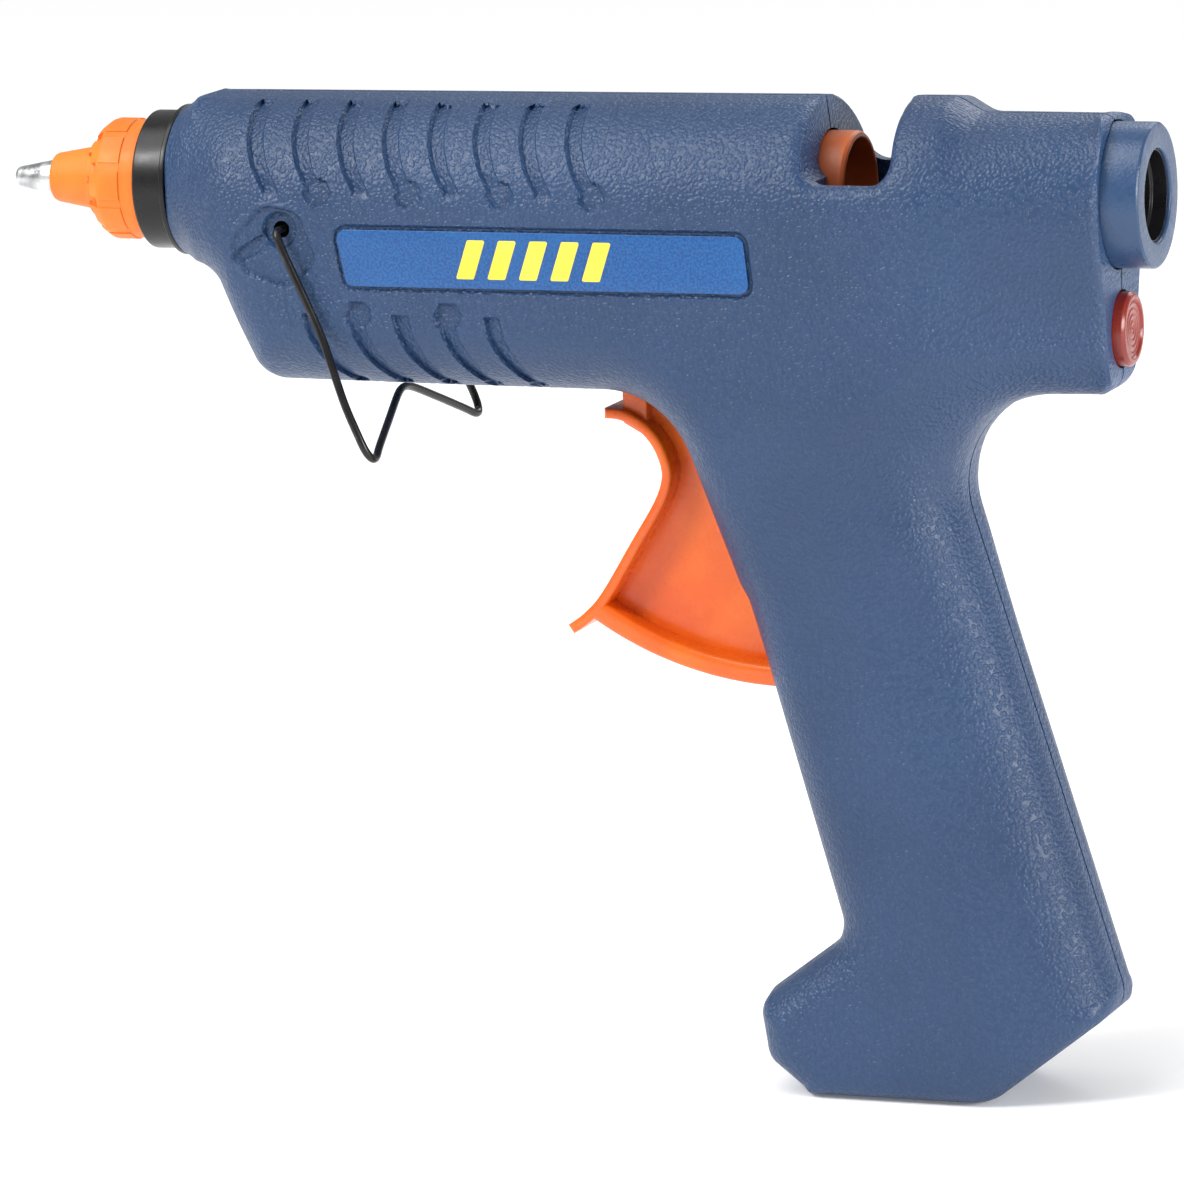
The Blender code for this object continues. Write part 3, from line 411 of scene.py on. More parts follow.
def grained_plastic(name, dark, light, grain, depth, rough):
    """Moulded plastic with a leather grain of small rounded pebbles."""
    s = Surface(name)
    pebbles = s.pebbles(grain)
    patches = s.noise(30.0, 4.0)
    tone = s.mix(dark, light, s.ramp(patches, 0.30, 0.70))
    tone = s.mix(tone, tuple(c * 0.70 for c in dark), s.ramp(pebbles, 0.40, 0.75, 0.0, 0.35))
    s.colour(s.worn(tone, tuple(min(1.0, c * 1.8 + 0.02) for c in light), 0.35))
    s.roughness(900.0, *rough)
    fine = s.bump(s.noise(4200.0, 3.0), 0.02, 0.6)
    s.bump(s.ramp(pebbles, 0.15, 0.75, 1.0, 0.0), depth, 1.0, fine)


def smooth_plastic(name, dark, light, rough=(0.22, 0.34), coat=0.15, mottle=90.0, specular=0.5):
    """Moulded plastic off a polished tool: soft flow marks and fine scuffs."""
    s = Surface(name, coat=coat)
    s.shader.inputs["Specular IOR Level"].default_value = specular
    tone = s.mix(dark, light, s.ramp(s.noise(mottle, 5.0), 0.3, 0.7))
    s.colour(s.worn(tone, tuple(min(1.0, c * 1.25 + 0.05) for c in light), 0.5))
    s.roughness(420.0, *rough)
    waves = s.bump(s.noise(160.0, 3.0), 0.03, 0.5)
    s.bump(s.noise(4200.0, 2.0), 0.006, 0.5, waves)


def metal(name, dark, light, rough=(0.25, 0.45), scale=700.0, depth=0.02):
    """Bare metal with cast or drawn marks and a slightly dulled surface."""
    s = Surface(name, metallic=1.0)
    s.colour(s.worn(s.mix(dark, light, s.ramp(s.noise(scale * 0.5, 6.0), 0.3, 0.7)), light, 0.6))
    s.roughness(scale, *rough)
    s.bump(s.noise(scale, 6.0), depth, 0.8)


def label_print():
    """Bright blue film with a fine speckle."""
    s = Surface("label_print", coat=0.2)
    speckle = s.ramp(s.noise(2300.0, 2.0), 0.38, 0.62)
    tone = s.mix((0.001, 0.055, 0.21), (0.004, 0.095, 0.31), speckle)
    s.colour(s.mix(tone, (0.008, 0.12, 0.36), s.ramp(s.noise(45.0, 3.0), 0.45, 0.8, 0.0, 0.5)))
    s.roughness(800.0, 0.42, 0.55)
    s.bump(s.noise(2300.0, 2.0), 0.01, 0.6)


def make_materials():
    grained_plastic("body_navy", (0.015, 0.044, 0.115), (0.020, 0.056, 0.140), 1500.0, 0.13, (0.34, 0.48))
    grained_plastic("collar_navy", (0.020, 0.055, 0.132), (0.026, 0.066, 0.152), 1800.0, 0.02, (0.26, 0.38))
    smooth_plastic("cap_orange", (0.88, 0.165, 0.006), (0.95, 0.225, 0.012), (0.45, 0.60), 0.0)
    smooth_plastic("trigger_orange", (0.78, 0.105, 0.003), (0.88, 0.150, 0.005), (0.22, 0.34), 0.15)
    # The carriage is moulded in the trigger's orange plastic. This darker red-brown copy paints in the shade
    # it sits in inside the body.
    smooth_plastic("carriage_red", (0.42, 0.075, 0.010), (0.60, 0.125, 0.018), (0.36, 0.50), 0.0)
    smooth_plastic("button_red", (0.19, 0.013, 0.006), (0.27, 0.022, 0.010), (0.20, 0.30), 0.1)
    smooth_plastic("gloss_black", (0.006, 0.006, 0.007), (0.012, 0.012, 0.013), (0.24, 0.36), 0.0, 90.0, 0.3)
    smooth_plastic("wire_black", (0.003, 0.003, 0.004), (0.008, 0.008, 0.009), (0.18, 0.30), 0.0, 300.0, 0.35)
    smooth_plastic("motif_yellow", (0.82, 0.62, 0.05), (0.90, 0.70, 0.08), (0.42, 0.55), 0.0)
    smooth_plastic("lead_sheath", (0.60, 0.57, 0.50), (0.74, 0.72, 0.66), (0.45, 0.58), 0.0)
    smooth_plastic("silicone_dull", (0.30, 0.30, 0.31), (0.42, 0.42, 0.43), (0.55, 0.70), 0.0)
    smooth_plastic("ceramic_white", (0.68, 0.65, 0.59), (0.82, 0.80, 0.75), (0.50, 0.66), 0.0, 240.0)
    metal("tip_metal", (0.30, 0.31, 0.32), (0.80, 0.80, 0.80), (0.22, 0.45), 560.0, 0.12)
    metal("cast_metal_grey", (0.46, 0.46, 0.47), (0.64, 0.64, 0.65), (0.38, 0.55), 420.0, 0.04)
    metal("steel_bright", (0.42, 0.42, 0.44), (0.62, 0.62, 0.64), (0.22, 0.36), 900.0, 0.008)
    metal("brass_bright", (0.62, 0.42, 0.15), (0.80, 0.60, 0.28), (0.22, 0.36), 700.0, 0.01)
    label_print()


# Which finish each node that keeps its own shape gets.
NODE_FINISH = {
    "steel_bright": ["shell_screw_1", "shell_screw_2", "shell_screw_3", "shell_screw_4",
                     "shell_screw_5", "shell_screw_6", "heater_clip", "sleeve_clamp", "stick_clamp",
                     "clamp_pin", "trigger_pin", "return_spring", "button_spring"],
    "gloss_black": ["switch_body", "power_inlet"],
    "cast_metal_grey": ["melt_chamber"],
    "ceramic_white": ["chamber_support", "ptc_heater"],
    "brass_bright": ["heater_terminal_1", "heater_terminal_2", "switch_terminal_1",
                     "switch_terminal_2", "inlet_pin_1", "inlet_pin_2"],
    "silicone_dull": ["inlet_sleeve"],
    "lead_sheath": ["lead_live", "lead_switched", "lead_neutral"],
}


def finish_nodes():
    for material, nodes in NODE_FINISH.items():
        for name in nodes:
            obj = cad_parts[name]
            for slot in obj.material_slots:
                slot.material = bpy.data.materials[material]


# ==== the body's side as a height over the parting plane =======================================
def divided(points, longest):
    """The same closed outline with its long edges divided evenly."""
    result = []
    for first, second in zip(points, points[1:] + points[:1]):
        count = max(1, math.ceil(math.dist(first[:2], second[:2]) / longest))
        for k in range(count):
            result.append(tuple(p + (q - p) * k / count for p, q in zip(first, second)))
    return np.array(result)


def inward(points):
    """Unit vectors that point into an outline that runs clockwise seen from -Y."""
    ahead = np.roll(points, -1, axis=0)[:, :2] - points[:, :2]
    ahead /= np.linalg.norm(ahead, axis=1)[:, None]
    normals = np.stack([ahead[:, 1], -ahead[:, 0]], axis=1)
    both = normals + np.roll(normals, 1, axis=0)
    return both / (np.einsum("ij,ij->i", both, normals))[:, None]


def edge_distance(places, points, closed=True):
    """Distance of each place to each edge of a line, and the nearest share of the edge."""
    start = points[:, :2] if closed else points[:-1, :2]
    along = (np.roll(points[:, :2], -1, axis=0) - points[:, :2])[:len(start)]
    offset = places[:, None, :] - start[None, :, :]
    share = np.einsum("ijk,jk->ij", offset, along) / np.einsum("jk,jk->j", along, along)
    share = np.clip(share, 0.0, 1.0)
    gap = offset - share[:, :, None] * along[None, :, :]
    return np.linalg.norm(gap, axis=2), share


def inside(places, outline):
    """Whether each place is inside the outline, by counting crossings."""
    x, z = outline[:, 0], outline[:, 1]
    next_x, next_z = np.roll(x, -1), np.roll(z, -1)
    spans = (z[None] > places[:, 1:]) != (next_z[None] > places[:, 1:])
    with np.errstate(divide="ignore", invalid="ignore"):
        crossing = x + (places[:, 1:] - z) * (next_x - x) / (next_z - z)
    return np.count_nonzero(spans & (places[:, :1] < crossing), axis=1) % 2 == 1


def signed_distance(places, outline):
    """Distance to the outline, positive inside it."""
    near = edge_distance(places, outline)[0].min(axis=1)
    return np.where(inside(places, outline), near, -near)


def ease(value, low, high):
    t = np.clip((value - low) / (high - low), 0.0, 1.0)
    return t * t * (3.0 - 2.0 * t)


def half_width(places):
    """Half width of the body before its edges are rounded off."""
    x, z = places[:, 0], places[:, 1]
    width = HANDLE_HALF + (BARREL_HALF - HANDLE_HALF) * ease(z, -78.0, -30.0)
    crease_x = np.interp(-z, [-point[1] for point in CREASE], [point[0] for point in CREASE])
    under_collar = ease(-z, 2.0, 24.0) - ease(-z, 36.0, 60.0)
    taper = REAR_TAPER + (BLOCK_TAPER - REAR_TAPER) * under_collar
    behind = x - crease_x
    width -= taper * np.where(behind > 2.0, behind, ease(behind, -2.0, 2.0) * np.maximum(behind, 0.0))
    return width - (BARREL_HALF - NOSE_HALF) * (1.0 - ease(x, BODY_FRONT, -55.0))


def surface(places, outline, wall):
    """How far the body's plain side stands out from the parting plane at each place."""
    result = np.empty(len(places))
    for first in range(0, len(places), 3000):
        part = places[first:first + 3000]
        distance, share = edge_distance(part, outline)
        following = np.roll(outline, -1, axis=0)
        reach = outline[:, 2] + share * (following[:, 2] - outline[:, 2]) - wall
        start = outline[:, 3] + share * (following[:, 3] - outline[:, 3])
        within = np.clip(distance / np.maximum(reach, 0.6), 0.0, 1.0)
        round_off = start + (1.0 - start) * np.sqrt(1.0 - (1.0 - within) ** 2)
        result[first:first + 3000] = (half_width(part) - wall) * round_off.min(axis=1)
    return softer_least(result, nose_limit(places, wall))


def nose_limit(places, wall):
    """Half width of the round nose, which widens away from the ring."""
    behind = places[:, 0] - BODY_FRONT
    radius = NOSE_RADIUS - wall + 0.42 * behind + 0.085 * behind ** 2
    return np.sqrt(np.maximum(radius ** 2 - places[:, 1] ** 2, 0.01))


def softer_least(first, second, blend=1.2):
    """The lesser of two heights, with a soft turn where they meet."""
    share = np.clip(0.5 + 0.5 * (second - first) / blend, 0.0, 1.0)
    return second + (first - second) * share - blend * share * (1.0 - share)


def groove_lines():
    """Front lines of all louvre grooves, and whether each ends in a round bulb."""
    lines = []
    for index, start in enumerate(UPPER_STARTS):
        path = np.array([(start + dx, z) for dx, z in UPPER_PATH])
        lines.append((path, index % 2 == 1, -1))
    for index, start in enumerate(LOWER_STARTS):
        path = np.array([(start + dx, z) for dx, z in LOWER_PATH])
        lines.append((path, index % 2 == 1, 0))
    return lines


def groove_depth(places, path, bulb, bulb_end):
    """Depth of one groove: a sharp step at its front line, rising to nothing behind it."""
    behind = np.array([GROOVE_WIDTH / 2.0, 0.0])
    middle = path + behind
    front_x = np.interp(-places[:, 1], -path[:, 1], path[:, 0])
    across = (places[:, 0] - front_x) / GROOVE_WIDTH
    sides = ease(across, -0.04, 0.09) * ease(1.0 - across, -0.03, 0.10)
    top, foot = path[0, 1], path[-1, 1]
    ends = ease(places[:, 1], foot - 0.9, foot - 0.5) * ease(-places[:, 1], -top - 0.35, -top)
    depth = sides * ends * (1.0 - 0.62 * np.clip(across, 0.0, 1.0))
    if bulb:
        centre = middle[bulb_end] + np.array([0.35, -0.3 if bulb_end else 0.3])
        radius = GROOVE_WIDTH / 2.0 + BULB
        from_centre = np.linalg.norm(places - centre, axis=1)
        round_end = ease(radius - from_centre, 0.0, 0.35)
        depth = np.maximum(depth, round_end * (0.85 - 0.15 * (places[:, 0] - centre[0]) / radius))
    return depth * GROOVE_DEPTH


def steepness(places, outline):
    """How much longer a step along Y is than one square to the plain side, up to a limit."""
    step = 0.05
    slopes = [(surface(places + offset, outline, 0.0) - surface(places - offset, outline, 0.0)) / (2.0 * step)
              for offset in (np.array([step, 0.0]), np.array([0.0, step]))]
    return np.minimum(np.sqrt(1.0 + slopes[0] ** 2 + slopes[1] ** 2), 3.2)


def channel(places, start, end, half, softness):
    """1 inside a straight channel with round ends, 0 outside."""
    line = np.array([start, end])
    near = edge_distance(places, line, closed=False)[0].min(axis=1)
    return ease(half - near, 0.0, softness)


def lip(distance, radius):
    """Drop of a rounded edge, where distance is measured from the edge outwards."""
    reach = np.clip(1.0 - distance / radius, 0.0, 1.0)
    return radius * (1.0 - np.sqrt(1.0 - reach ** 2))


NOTCH = np.array(rounded(NOTCH_OUTLINE, 8.0))
LABEL = np.array(rounded(LABEL_OUTLINE, 12.0))
PAD = np.array(rounded(PAD_OUTLINE, 10.0))
LABEL_RIM = 0.55        # width of the step round the label
HOLE_RADIUS = 1.45


def details(places, side):
    """How deep the moulded details are sunk into the plain side at each place."""
    depth = np.zeros(len(places))
    for path, bulb, bulb_end in groove_lines():
        depth = np.maximum(depth, groove_depth(places, path, bulb, bulb_end))
    pad = signed_distance(places, PAD)
    hole = np.linalg.norm(places - np.array(STAND_HOLE), axis=1)
    depth += 0.7 * ease(pad, -0.1, 0.35) * (1.0 - 0.5 * ease(-places[:, 0], 46.0, 54.0))
    depth += 1.0 * ease(3.1 - hole, 0.0, 0.35)
    slot = channel(places, (-46.5, -6.2), (-53.2, -10.4), 1.2, 0.3)
    depth += 0.6 * slot * ease(hole, 3.1, 3.3)
    depth -= 0.2 * ease(pad, -1.3, -0.5) * ease(-pad, 0.0, 0.3)
    label = signed_distance(places, LABEL)
    depth += 0.55 * ease(label, -LABEL_RIM - 0.35, -LABEL_RIM + 0.05)
    depth += lip(-signed_distance(places, NOTCH), 1.5)
    if side > 0:
        for x, z in SCREWS:
            depth += lip(np.linalg.norm(places - np.array((x, z)), axis=1) - 3.1, 0.6)
    return depth


# ==== mesh of the mouldings =====================================================================
def rows_along(path, offsets, spacing, closed):
    """Points that follow a line at some distances to its left."""
    points = [tuple(p) for p in path]
    if closed:
        dense = divided(points, spacing)
        normals = inward(dense)
        return np.vstack([dense[:, :2] + normals * offset for offset in offsets])
    dense = [np.array(points[0])]
    for first, second in zip(points, points[1:]):
        count = max(1, math.ceil(math.dist(first, second) / spacing))
        dense += [np.array(first) + (np.array(second) - np.array(first)) * k / count
                  for k in range(1, count + 1)]
    return np.vstack([np.array(dense) + np.array([offset, 0.0]) for offset in offsets])


def grid(low, high, spacing):
    points = []
    for row, z in enumerate(np.arange(low[1], high[1], spacing * 0.87)):
        shift = (row % 2) * spacing / 2.0
        points += [(x, z) for x in np.arange(low[0] + shift, high[0], spacing)]
    return np.array(points)


def layered(outline, layers, margin):
    """Points of all layers, each kept where it is inside and clear of the earlier ones."""
    kept = outline[:, :2]
    for points, gap in layers:
        distance = np.concatenate([signed_distance(points[k:k + 4000], outline)
                                   for k in range(0, len(points), 4000)])
        tree = KDTree(len(kept))
        for index, place in enumerate(kept):
            tree.insert((place[0], place[1], 0.0), index)
        tree.balance()
        chosen = []
        for place, depth in zip(points, distance):
            if depth > margin and tree.find((place[0], place[1], 0.0))[2] > gap:
                chosen.append(place)
        if chosen:
            kept = np.vstack([kept, chosen])
    return kept


def fine_places(outline):
    """Sample places of a moulding's side: dense at its details and rounded edges."""
    rows = (-0.16, 0.28, GROOVE_WIDTH - 0.3, GROOVE_WIDTH + 0.12)
    features = [rows_along(path, rows, 0.5, False) for path, _, _ in groove_lines()]
    angles = np.linspace(0.0, 2.0 * math.pi, 48, endpoint=False)
    for radius in (2.7, 2.95, 3.2):
        features.append(np.array(STAND_HOLE) + radius * np.stack([np.cos(angles), np.sin(angles)], axis=1))
    features += [rows_along(LABEL, (-LABEL_RIM - 0.4, -LABEL_RIM + 0.1), 0.8, True)]
    features += [rows_along(PAD, (-1.3, -0.45, -0.08, 0.33), 0.5, True)]
    features += [rows_along(NOTCH, (-1.5, -0.8, -0.3, 0.25), 0.8, True)]
    rings = [outline[:, :2] + inward(outline) * ring for ring in (0.10, 0.30, 0.65, 1.15, 1.8, 2.6)]
    fine = [grid((-57.0, -4.0), (14.0, 15.0), 0.62), grid((-44.5, -33.0), (6.0, -17.0), 0.62),
            grid((-56.0, -17.0), (-37.0, 0.5), 0.36), grid((42.0, 0.0), (65.0, 16.0), 0.8)]
    layers = [(np.vstack(features), 0.17)]
    layers += [(ring, 0.35) for ring in rings]
    layers += [(points, 0.30) for points in fine]
    layers += [(grid((BODY_FRONT, FOOT), (BODY_REAR, BODY_TOP), 1.7), 1.05)]
    return layered(outline, layers, 0.07)


def half_solid(name, side, outline, places, inner_y, wall, material=None):
    """One half of the body as a solid, from inner_y to its rounded side."""
    count = len(outline)
    found = delaunay_2d_cdt([Vector(p) for p in places], [], [list(range(count))], 1, 0.0001)
    corners = np.array([tuple(v) for v in found[0]])
    heights = surface(corners, outline, wall)
    if not wall:
        sunk = np.concatenate([details(corners[k:k + 4000], side) for k in range(0, len(corners), 4000)])
        heights -= np.minimum(sunk * steepness(corners, outline), heights * 0.5)
    bm = bmesh.new()
    top = [bm.verts.new(at(x, side * max(y, 0.6), z)) for (x, z), y in zip(corners, heights)]
    for face in found[2]:
        bm.faces.new([top[index] for index in face])
    source = {made: index for index, origins in enumerate(found[3]) for made in origins}
    rim = [top[source[k]] for k in range(count)]
    foot = [bm.verts.new((v.co.x, side * inner_y * MM, v.co.z)) for v in rim]
    bm.faces.new(foot)
    for k in range(count):
        after = (k + 1) % count
        bm.faces.new((rim[k], rim[after], foot[after], foot[k]))
    return smooth(add_object(name, finish_mesh(bm, name), material), 40.0)


def bulkheads(name):
    """Walls across the body round the stick's path, as one set of solids."""
    walls = [(-17.4, -15.2, -12.0, 11.0), (-11.6, -9.6, -12.0, 11.0), (15.6, 17.8, -11.0, 8.9),
             (43.4, 48.5, -11.0, 10.4), (59.0, 64.6, -11.0, 9.9), (89.0, 91.2, -11.0, 9.9)]
    made = []
    for index, (x_low, x_high, z_low, bore) in enumerate(walls):
        wall = block(f"{name}_{index}", (x_low, -30.0, z_low), (x_high, 30.0, 14.6))
        made.append(combined(wall, [rod("bore", bore, (x_low - 1.0, 0, 0), (x_high + 1.0, 0, 0))],
                             "DIFFERENCE"))
    for index, (x, z) in enumerate(SCREWS):
        made.append(rod(f"{name}_neck_{index}", 3.0, (x, -7.0, z), (x, 7.0, z), 16))
        for side in (-1.0, 1.0):
            ends = (x, side * 5.0, z), (x, side * 24.0, z)
            made.append(rod(f"{name}_post_{index}{side:+.0f}", 4.3, *ends, 16))
    for side in (-1.0, 1.0):
        start = (PIVOT.x, side * 13.2, PIVOT.z)
        made.append(rod(f"{name}_pivot{side:+.0f}", 4.8, start, (PIVOT.x, side * 24.0, PIVOT.z)))
    return made


def slope_hole(half_down, half_across, out_low, out_high):
    """Box square to the sloped face at the rear of the foot."""
    top = Vector((SLOPE_TOP[0], 0.0, SLOPE_TOP[1]))
    low = Vector((SLOPE_LOW[0], 0.0, SLOPE_LOW[1]))
    down = (low - top).normalized()
    normal = Vector((-down.z, 0.0, down.x))
    middle = (top + low) / 2.0 + normal * (out_low + out_high) / 2.0
    turn = Matrix((down, Vector((0.0, 1.0, 0.0)), normal)).transposed().to_4x4()
    bm = bmesh.new()
    bmesh.ops.create_cube(bm, size=1.0)
    size = Vector((half_down * 2.0, half_across * 2.0, out_high - out_low)) * MM
    bmesh.ops.scale(bm, vec=size, verts=bm.verts)
    bmesh.ops.transform(bm, matrix=Matrix.Translation(at(*middle)) @ turn, verts=bm.verts)
    return add_object("slope_hole", finish_mesh(bm, "slope_hole"))


def body_openings(side):
    """Every hole cut through one moulding."""
    x, z = STAND_HOLE
    web = [(9.9, -26.0), (9.9, -46.0), (24.3, -62.0), (42.3, -62.0), (42.3, -26.0)]
    flange = [(20.3, -46.8), (20.3, -84.7), (49.3, -84.7), (49.3, -46.8)]
    tools = [
        plate("notch", rounded(NOTCH_OUTLINE, 8.0), -30.0, 30.0),
        rod("nose_bore", RING_RADIUS - 0.6, (-75.0, 0, 0), (-60.0, 0, 0), 96),
        rod("nose_groove", RING_RADIUS + 0.4, (-67.1, 0, 0), (-63.9, 0, 0), 96),
        rod("rear_bore", COLLAR_RADIUS + GAP, (91.5, 0, 0), (105.0, 0, 0), 96),
        rod("button_bore", BUTTON_RADIUS + GAP, (92.0, 0, BUTTON_Z), (105.0, 0, BUTTON_Z), 72),
        plate("web_slot", web, -2.2, 2.2),
        plate("flange_slot", flange, -7.0, 7.0),
        rod("pin_bore", 2.3, (PIVOT.x, -17.0, PIVOT.z), (PIVOT.x, 17.0, PIVOT.z)),
        slope_hole(4.8, 7.2, -6.0, 4.0),
        rod("stand_hole", HOLE_RADIUS, (x, side * 15.0, z), (x, side * 26.0, z)),
    ]
    for place_x, place_z in SCREWS:
        tools.append(rod("screw_hole", 1.7, (place_x, -11.0, place_z), (place_x, 8.0, place_z), 16))
        tools.append(rod("screw_head", 3.1, (place_x, 6.0, place_z), (place_x, 26.0, place_z), 32))
    return tools


def make_shells():
    outline = divided(rounded(BODY_OUTLINE, 6.0), 0.9)
    places = fine_places(outline)
    soft_corners = [(x, z, max(radius, WALL + 0.8), reach, start)
                    for x, z, radius, reach, start in BODY_OUTLINE]
    inner = divided(rounded(soft_corners, 18.0), 8.0)
    inner[:, :2] += inward(inner) * WALL
    rings = [inner[:, :2] + inward(inner) * ring for ring in (1.6, 6.0)]
    layers = [(rings[0], 1.2), (rings[1], 3.0), (grid((BODY_FRONT, FOOT), (BODY_REAR, BODY_TOP), 9.0), 5.5)]
    inner_places = layered(inner, layers, 1.0)
    for name, side in (("left", -1.0), ("right", 1.0)):
        cavity = half_solid(name + "_cavity", side, inner, inner_places, -2.0, WALL)
        cavity = combined(cavity, bulkheads(name + "_rib"), "DIFFERENCE")
        shell = half_solid(name + "_moulding", side, outline, places, SEAM_HALF, 0.0, "body_navy")
        shell = combined(shell, [cavity] + body_openings(side), "DIFFERENCE")
        ride(shell, "body", "body_plastic", name + "_shell")


# ==== nozzle =======================================================================================
def make_nozzle():
    tip = revolved("tip_cone", [
        (-64.6, 4.3, 0), (-72.6, 4.3, 0), (-72.6, 6.5, 0.3), (-78.8, 6.5, 0.3), (-78.8, 4.25, 0),
        (-94.6, 3.2, 0), (-102.0, 1.75, 0.3), (-102.5, 1.45, 0.2), (-102.5, 0.75, 0.1), (-98.0, 0.8, 0),
        (-93.0, 2.0, 0), (-64.6, 2.6, 0)], "tip_metal", 72)
    ride(tip, "body", "nozzle_metal", "nozzle_tip")
    cap = revolved("heat_cap", [
        (-76.6, 10.1, 0.1), (-77.6, 10.2, 0.1), (-79.3, 10.2, 0.1), (-79.4, 10.45, 0.1), (-83.3, 10.45, 1.4),
        (-85.3, 9.0, 0.7), (-85.5, 7.1, 0.2), (-87.0, 6.9, 0.4), (-87.4, 5.5, 0.5),
        (CAP_FRONT + 0.5, 4.25, 0.4), (CAP_FRONT, 4.0, 0.2), (CAP_FRONT, 3.4, 0.1), (-79.2, 4.65, 0),
        (-79.2, 6.9, 0), (-76.6, 6.9, 0)], "cap_orange", 120)
    tools = []
    for k in range(CAP_POCKETS):
        turn = 2.0 * math.pi * (k + 0.5) / CAP_POCKETS + math.pi / 2.0
        tools.append(block(f"pocket_{k}", (-86.4, -0.95, 7.7), (-83.7, 0.95, 12.0), turn))
        tools.append(block(f"flat_{k}", (-84.0, -0.8, 10.25), (-79.0, 0.8, 12.0), turn))
        tools.append(block(f"slit_{k}", (-88.6, -0.6, 5.75), (-86.0, 0.6, 9.0), turn + 0.22))
    cap = combined(cap, tools, "DIFFERENCE")
    soften(cap, 0.12)
    ride(cap, "body", "cap_silicone", "nozzle_cap")
    ring = revolved("front_ring", [
        (-64.4, 12.0, 0.2), (-66.9, 12.0, 0.2), (-66.9, 11.1, 0), (-69.75, 11.1, 0), (-69.75, 12.95, 0.2),
        (-70.7, 12.95, 0.25), (-70.75, RING_RADIUS - 0.1, 0.1), (-75.9, RING_RADIUS - 0.1, 0.35),
        (-76.3, 11.3, 0.2), (-76.3, 7.5, 0), (-64.4, 7.5, 0)], "gloss_black", 144)
    ride(ring, "body", "black_plastic", "heat_ring")


def soften(obj, width, angle=40.0):
    """Small rounding on all sharp edges, for a highlight along them."""
    bevel = obj.modifiers.new("edges", "BEVEL")
    bevel.width = width * MM
    bevel.segments = 2
    bevel.limit_method = "ANGLE"
    bevel.angle_limit = math.radians(angle)
    bevel.use_clamp_overlap = True
    bevel.harden_normals = False
    return obj


# ==== feed, collar and button =============================================================================
def make_carriage():
    carriage = revolved("stick_carriage", [
        (51.2, 9.55, 0.45), (50.6, 10.0, 0.4), (44.4, 10.0, 0.6), (42.6, 8.5, 0.8), (14.0, 8.5, 0.3),
        (14.0, 6.3, 0), (41.0, 6.3, 0), (47.0, 8.7, 2.0), (51.2, 8.8, 0.35)], "carriage_red", 96)
    tools = []
    for side in (-1.0, 1.0):
        tools.append(rod("stud", 2.0, (PIVOT.x, side * 7.6, 0), (PIVOT.x, side * 12.4, 0), 32))
        low, high = sorted((side * 3.2, side * 5.4))
        tools.append(block("ear", (26.8, low, -14.2), (31.2, high, -6.2)))
    carriage = combined(carriage, tools, "UNION")
    tools = [block("window", (24.4, -2.95, -15.0), (33.9, 2.95, -3.5)),
             rod("pin_hole", 1.15, (29.0, -7.0, -12.0), (29.0, 7.0, -12.0), 24)]
    carriage = combined(carriage, tools, "DIFFERENCE")
    ride(carriage, "carriage", "carriage_plastic", "feed_carriage")


def make_collar():
    collar = revolved("mouth_collar", [
        (COLLAR_END, 11.75, 0.15), (COLLAR_END - 0.35, COLLAR_RADIUS, 0.15), (92.0, COLLAR_RADIUS, 0),
        (92.0, 9.5, 0), (88.6, 9.5, 0), (88.6, 10.1, 0), (86.4, 10.1, 0), (86.4, 9.5, 0), (66.0, 9.5, 0),
        (66.0, 7.0, 0.2), (67.2, 6.1, 0.3), (95.6, 6.1, 0.2), (95.6, 7.1, 0), (98.6, 7.1, 0.1),
        (98.6, 7.6, 0), (COLLAR_END, 7.75, 0.45)], "collar_navy", 144)
    ride(collar, "body", "collar_plastic", "rear_collar")
    liner = revolved("collar_liner", [
        (COLLAR_END - 0.6, 7.7, 0.1), (98.7, 7.7, 0), (98.7, 7.0, 0), (95.0, 7.0, 0), (95.0, 5.9, 0.2),
        (96.2, 5.9, 0.3), (96.2, 6.6, 0.2), (99.2, 6.7, 0.2), (99.5, 7.3, 0.2), (COLLAR_END - 0.6, 7.4, 0.1)],
        "gloss_black", 96)
    ride(liner, "body", "black_plastic")


def make_button():
    face = BUTTON_FACE
    ridges = [(face - 0.35 + 0.07 * math.cos(2.0 * math.pi * r / 1.05), r, 0.0)
              for r in np.linspace(0.0, 4.7, 28)]
    button = revolved("on_off_button", ridges + [
        (face, 5.0, 0.2), (face, 5.7, 0.35), (face - 0.6, BUTTON_RADIUS, 0.4), (face - 5.0, BUTTON_RADIUS, 0),
        (face - 5.0, 6.95, 0), (face - 6.6, 6.95, 0), (face - 6.6, 1.8, 0), (face - 10.4, 1.8, 0),
        (face - 10.4, 0.0, 0)], "button_red", 96, BUTTON_Z)
    ride(button, "button", "button_plastic", "power_button")


# ==== trigger ======================================================================================
TRIGGER_SWEEP = 63.0
TRIGGER_HALF = 6.5


def sweep_arc(radius, x_low, x_high, count):
    """Points on a circle about the trigger's pivot, below it."""
    points = []
    for k in range(count + 1):
        x = x_low + (x_high - x_low) * k / count
        points.append((x, PIVOT.z - math.sqrt(radius ** 2 - (x - PIVOT.x) ** 2)))
    return points


def set_back(line, distance):
    """An open line moved to its left by a distance."""
    moved = []
    for before, here, after in zip([line[0]] + line, line, line[1:] + [line[-1]]):
        along = (Vector(after) - Vector(before)).normalized()
        moved.append((here[0] - along.y * distance, here[1] + along.x * distance))
    return moved


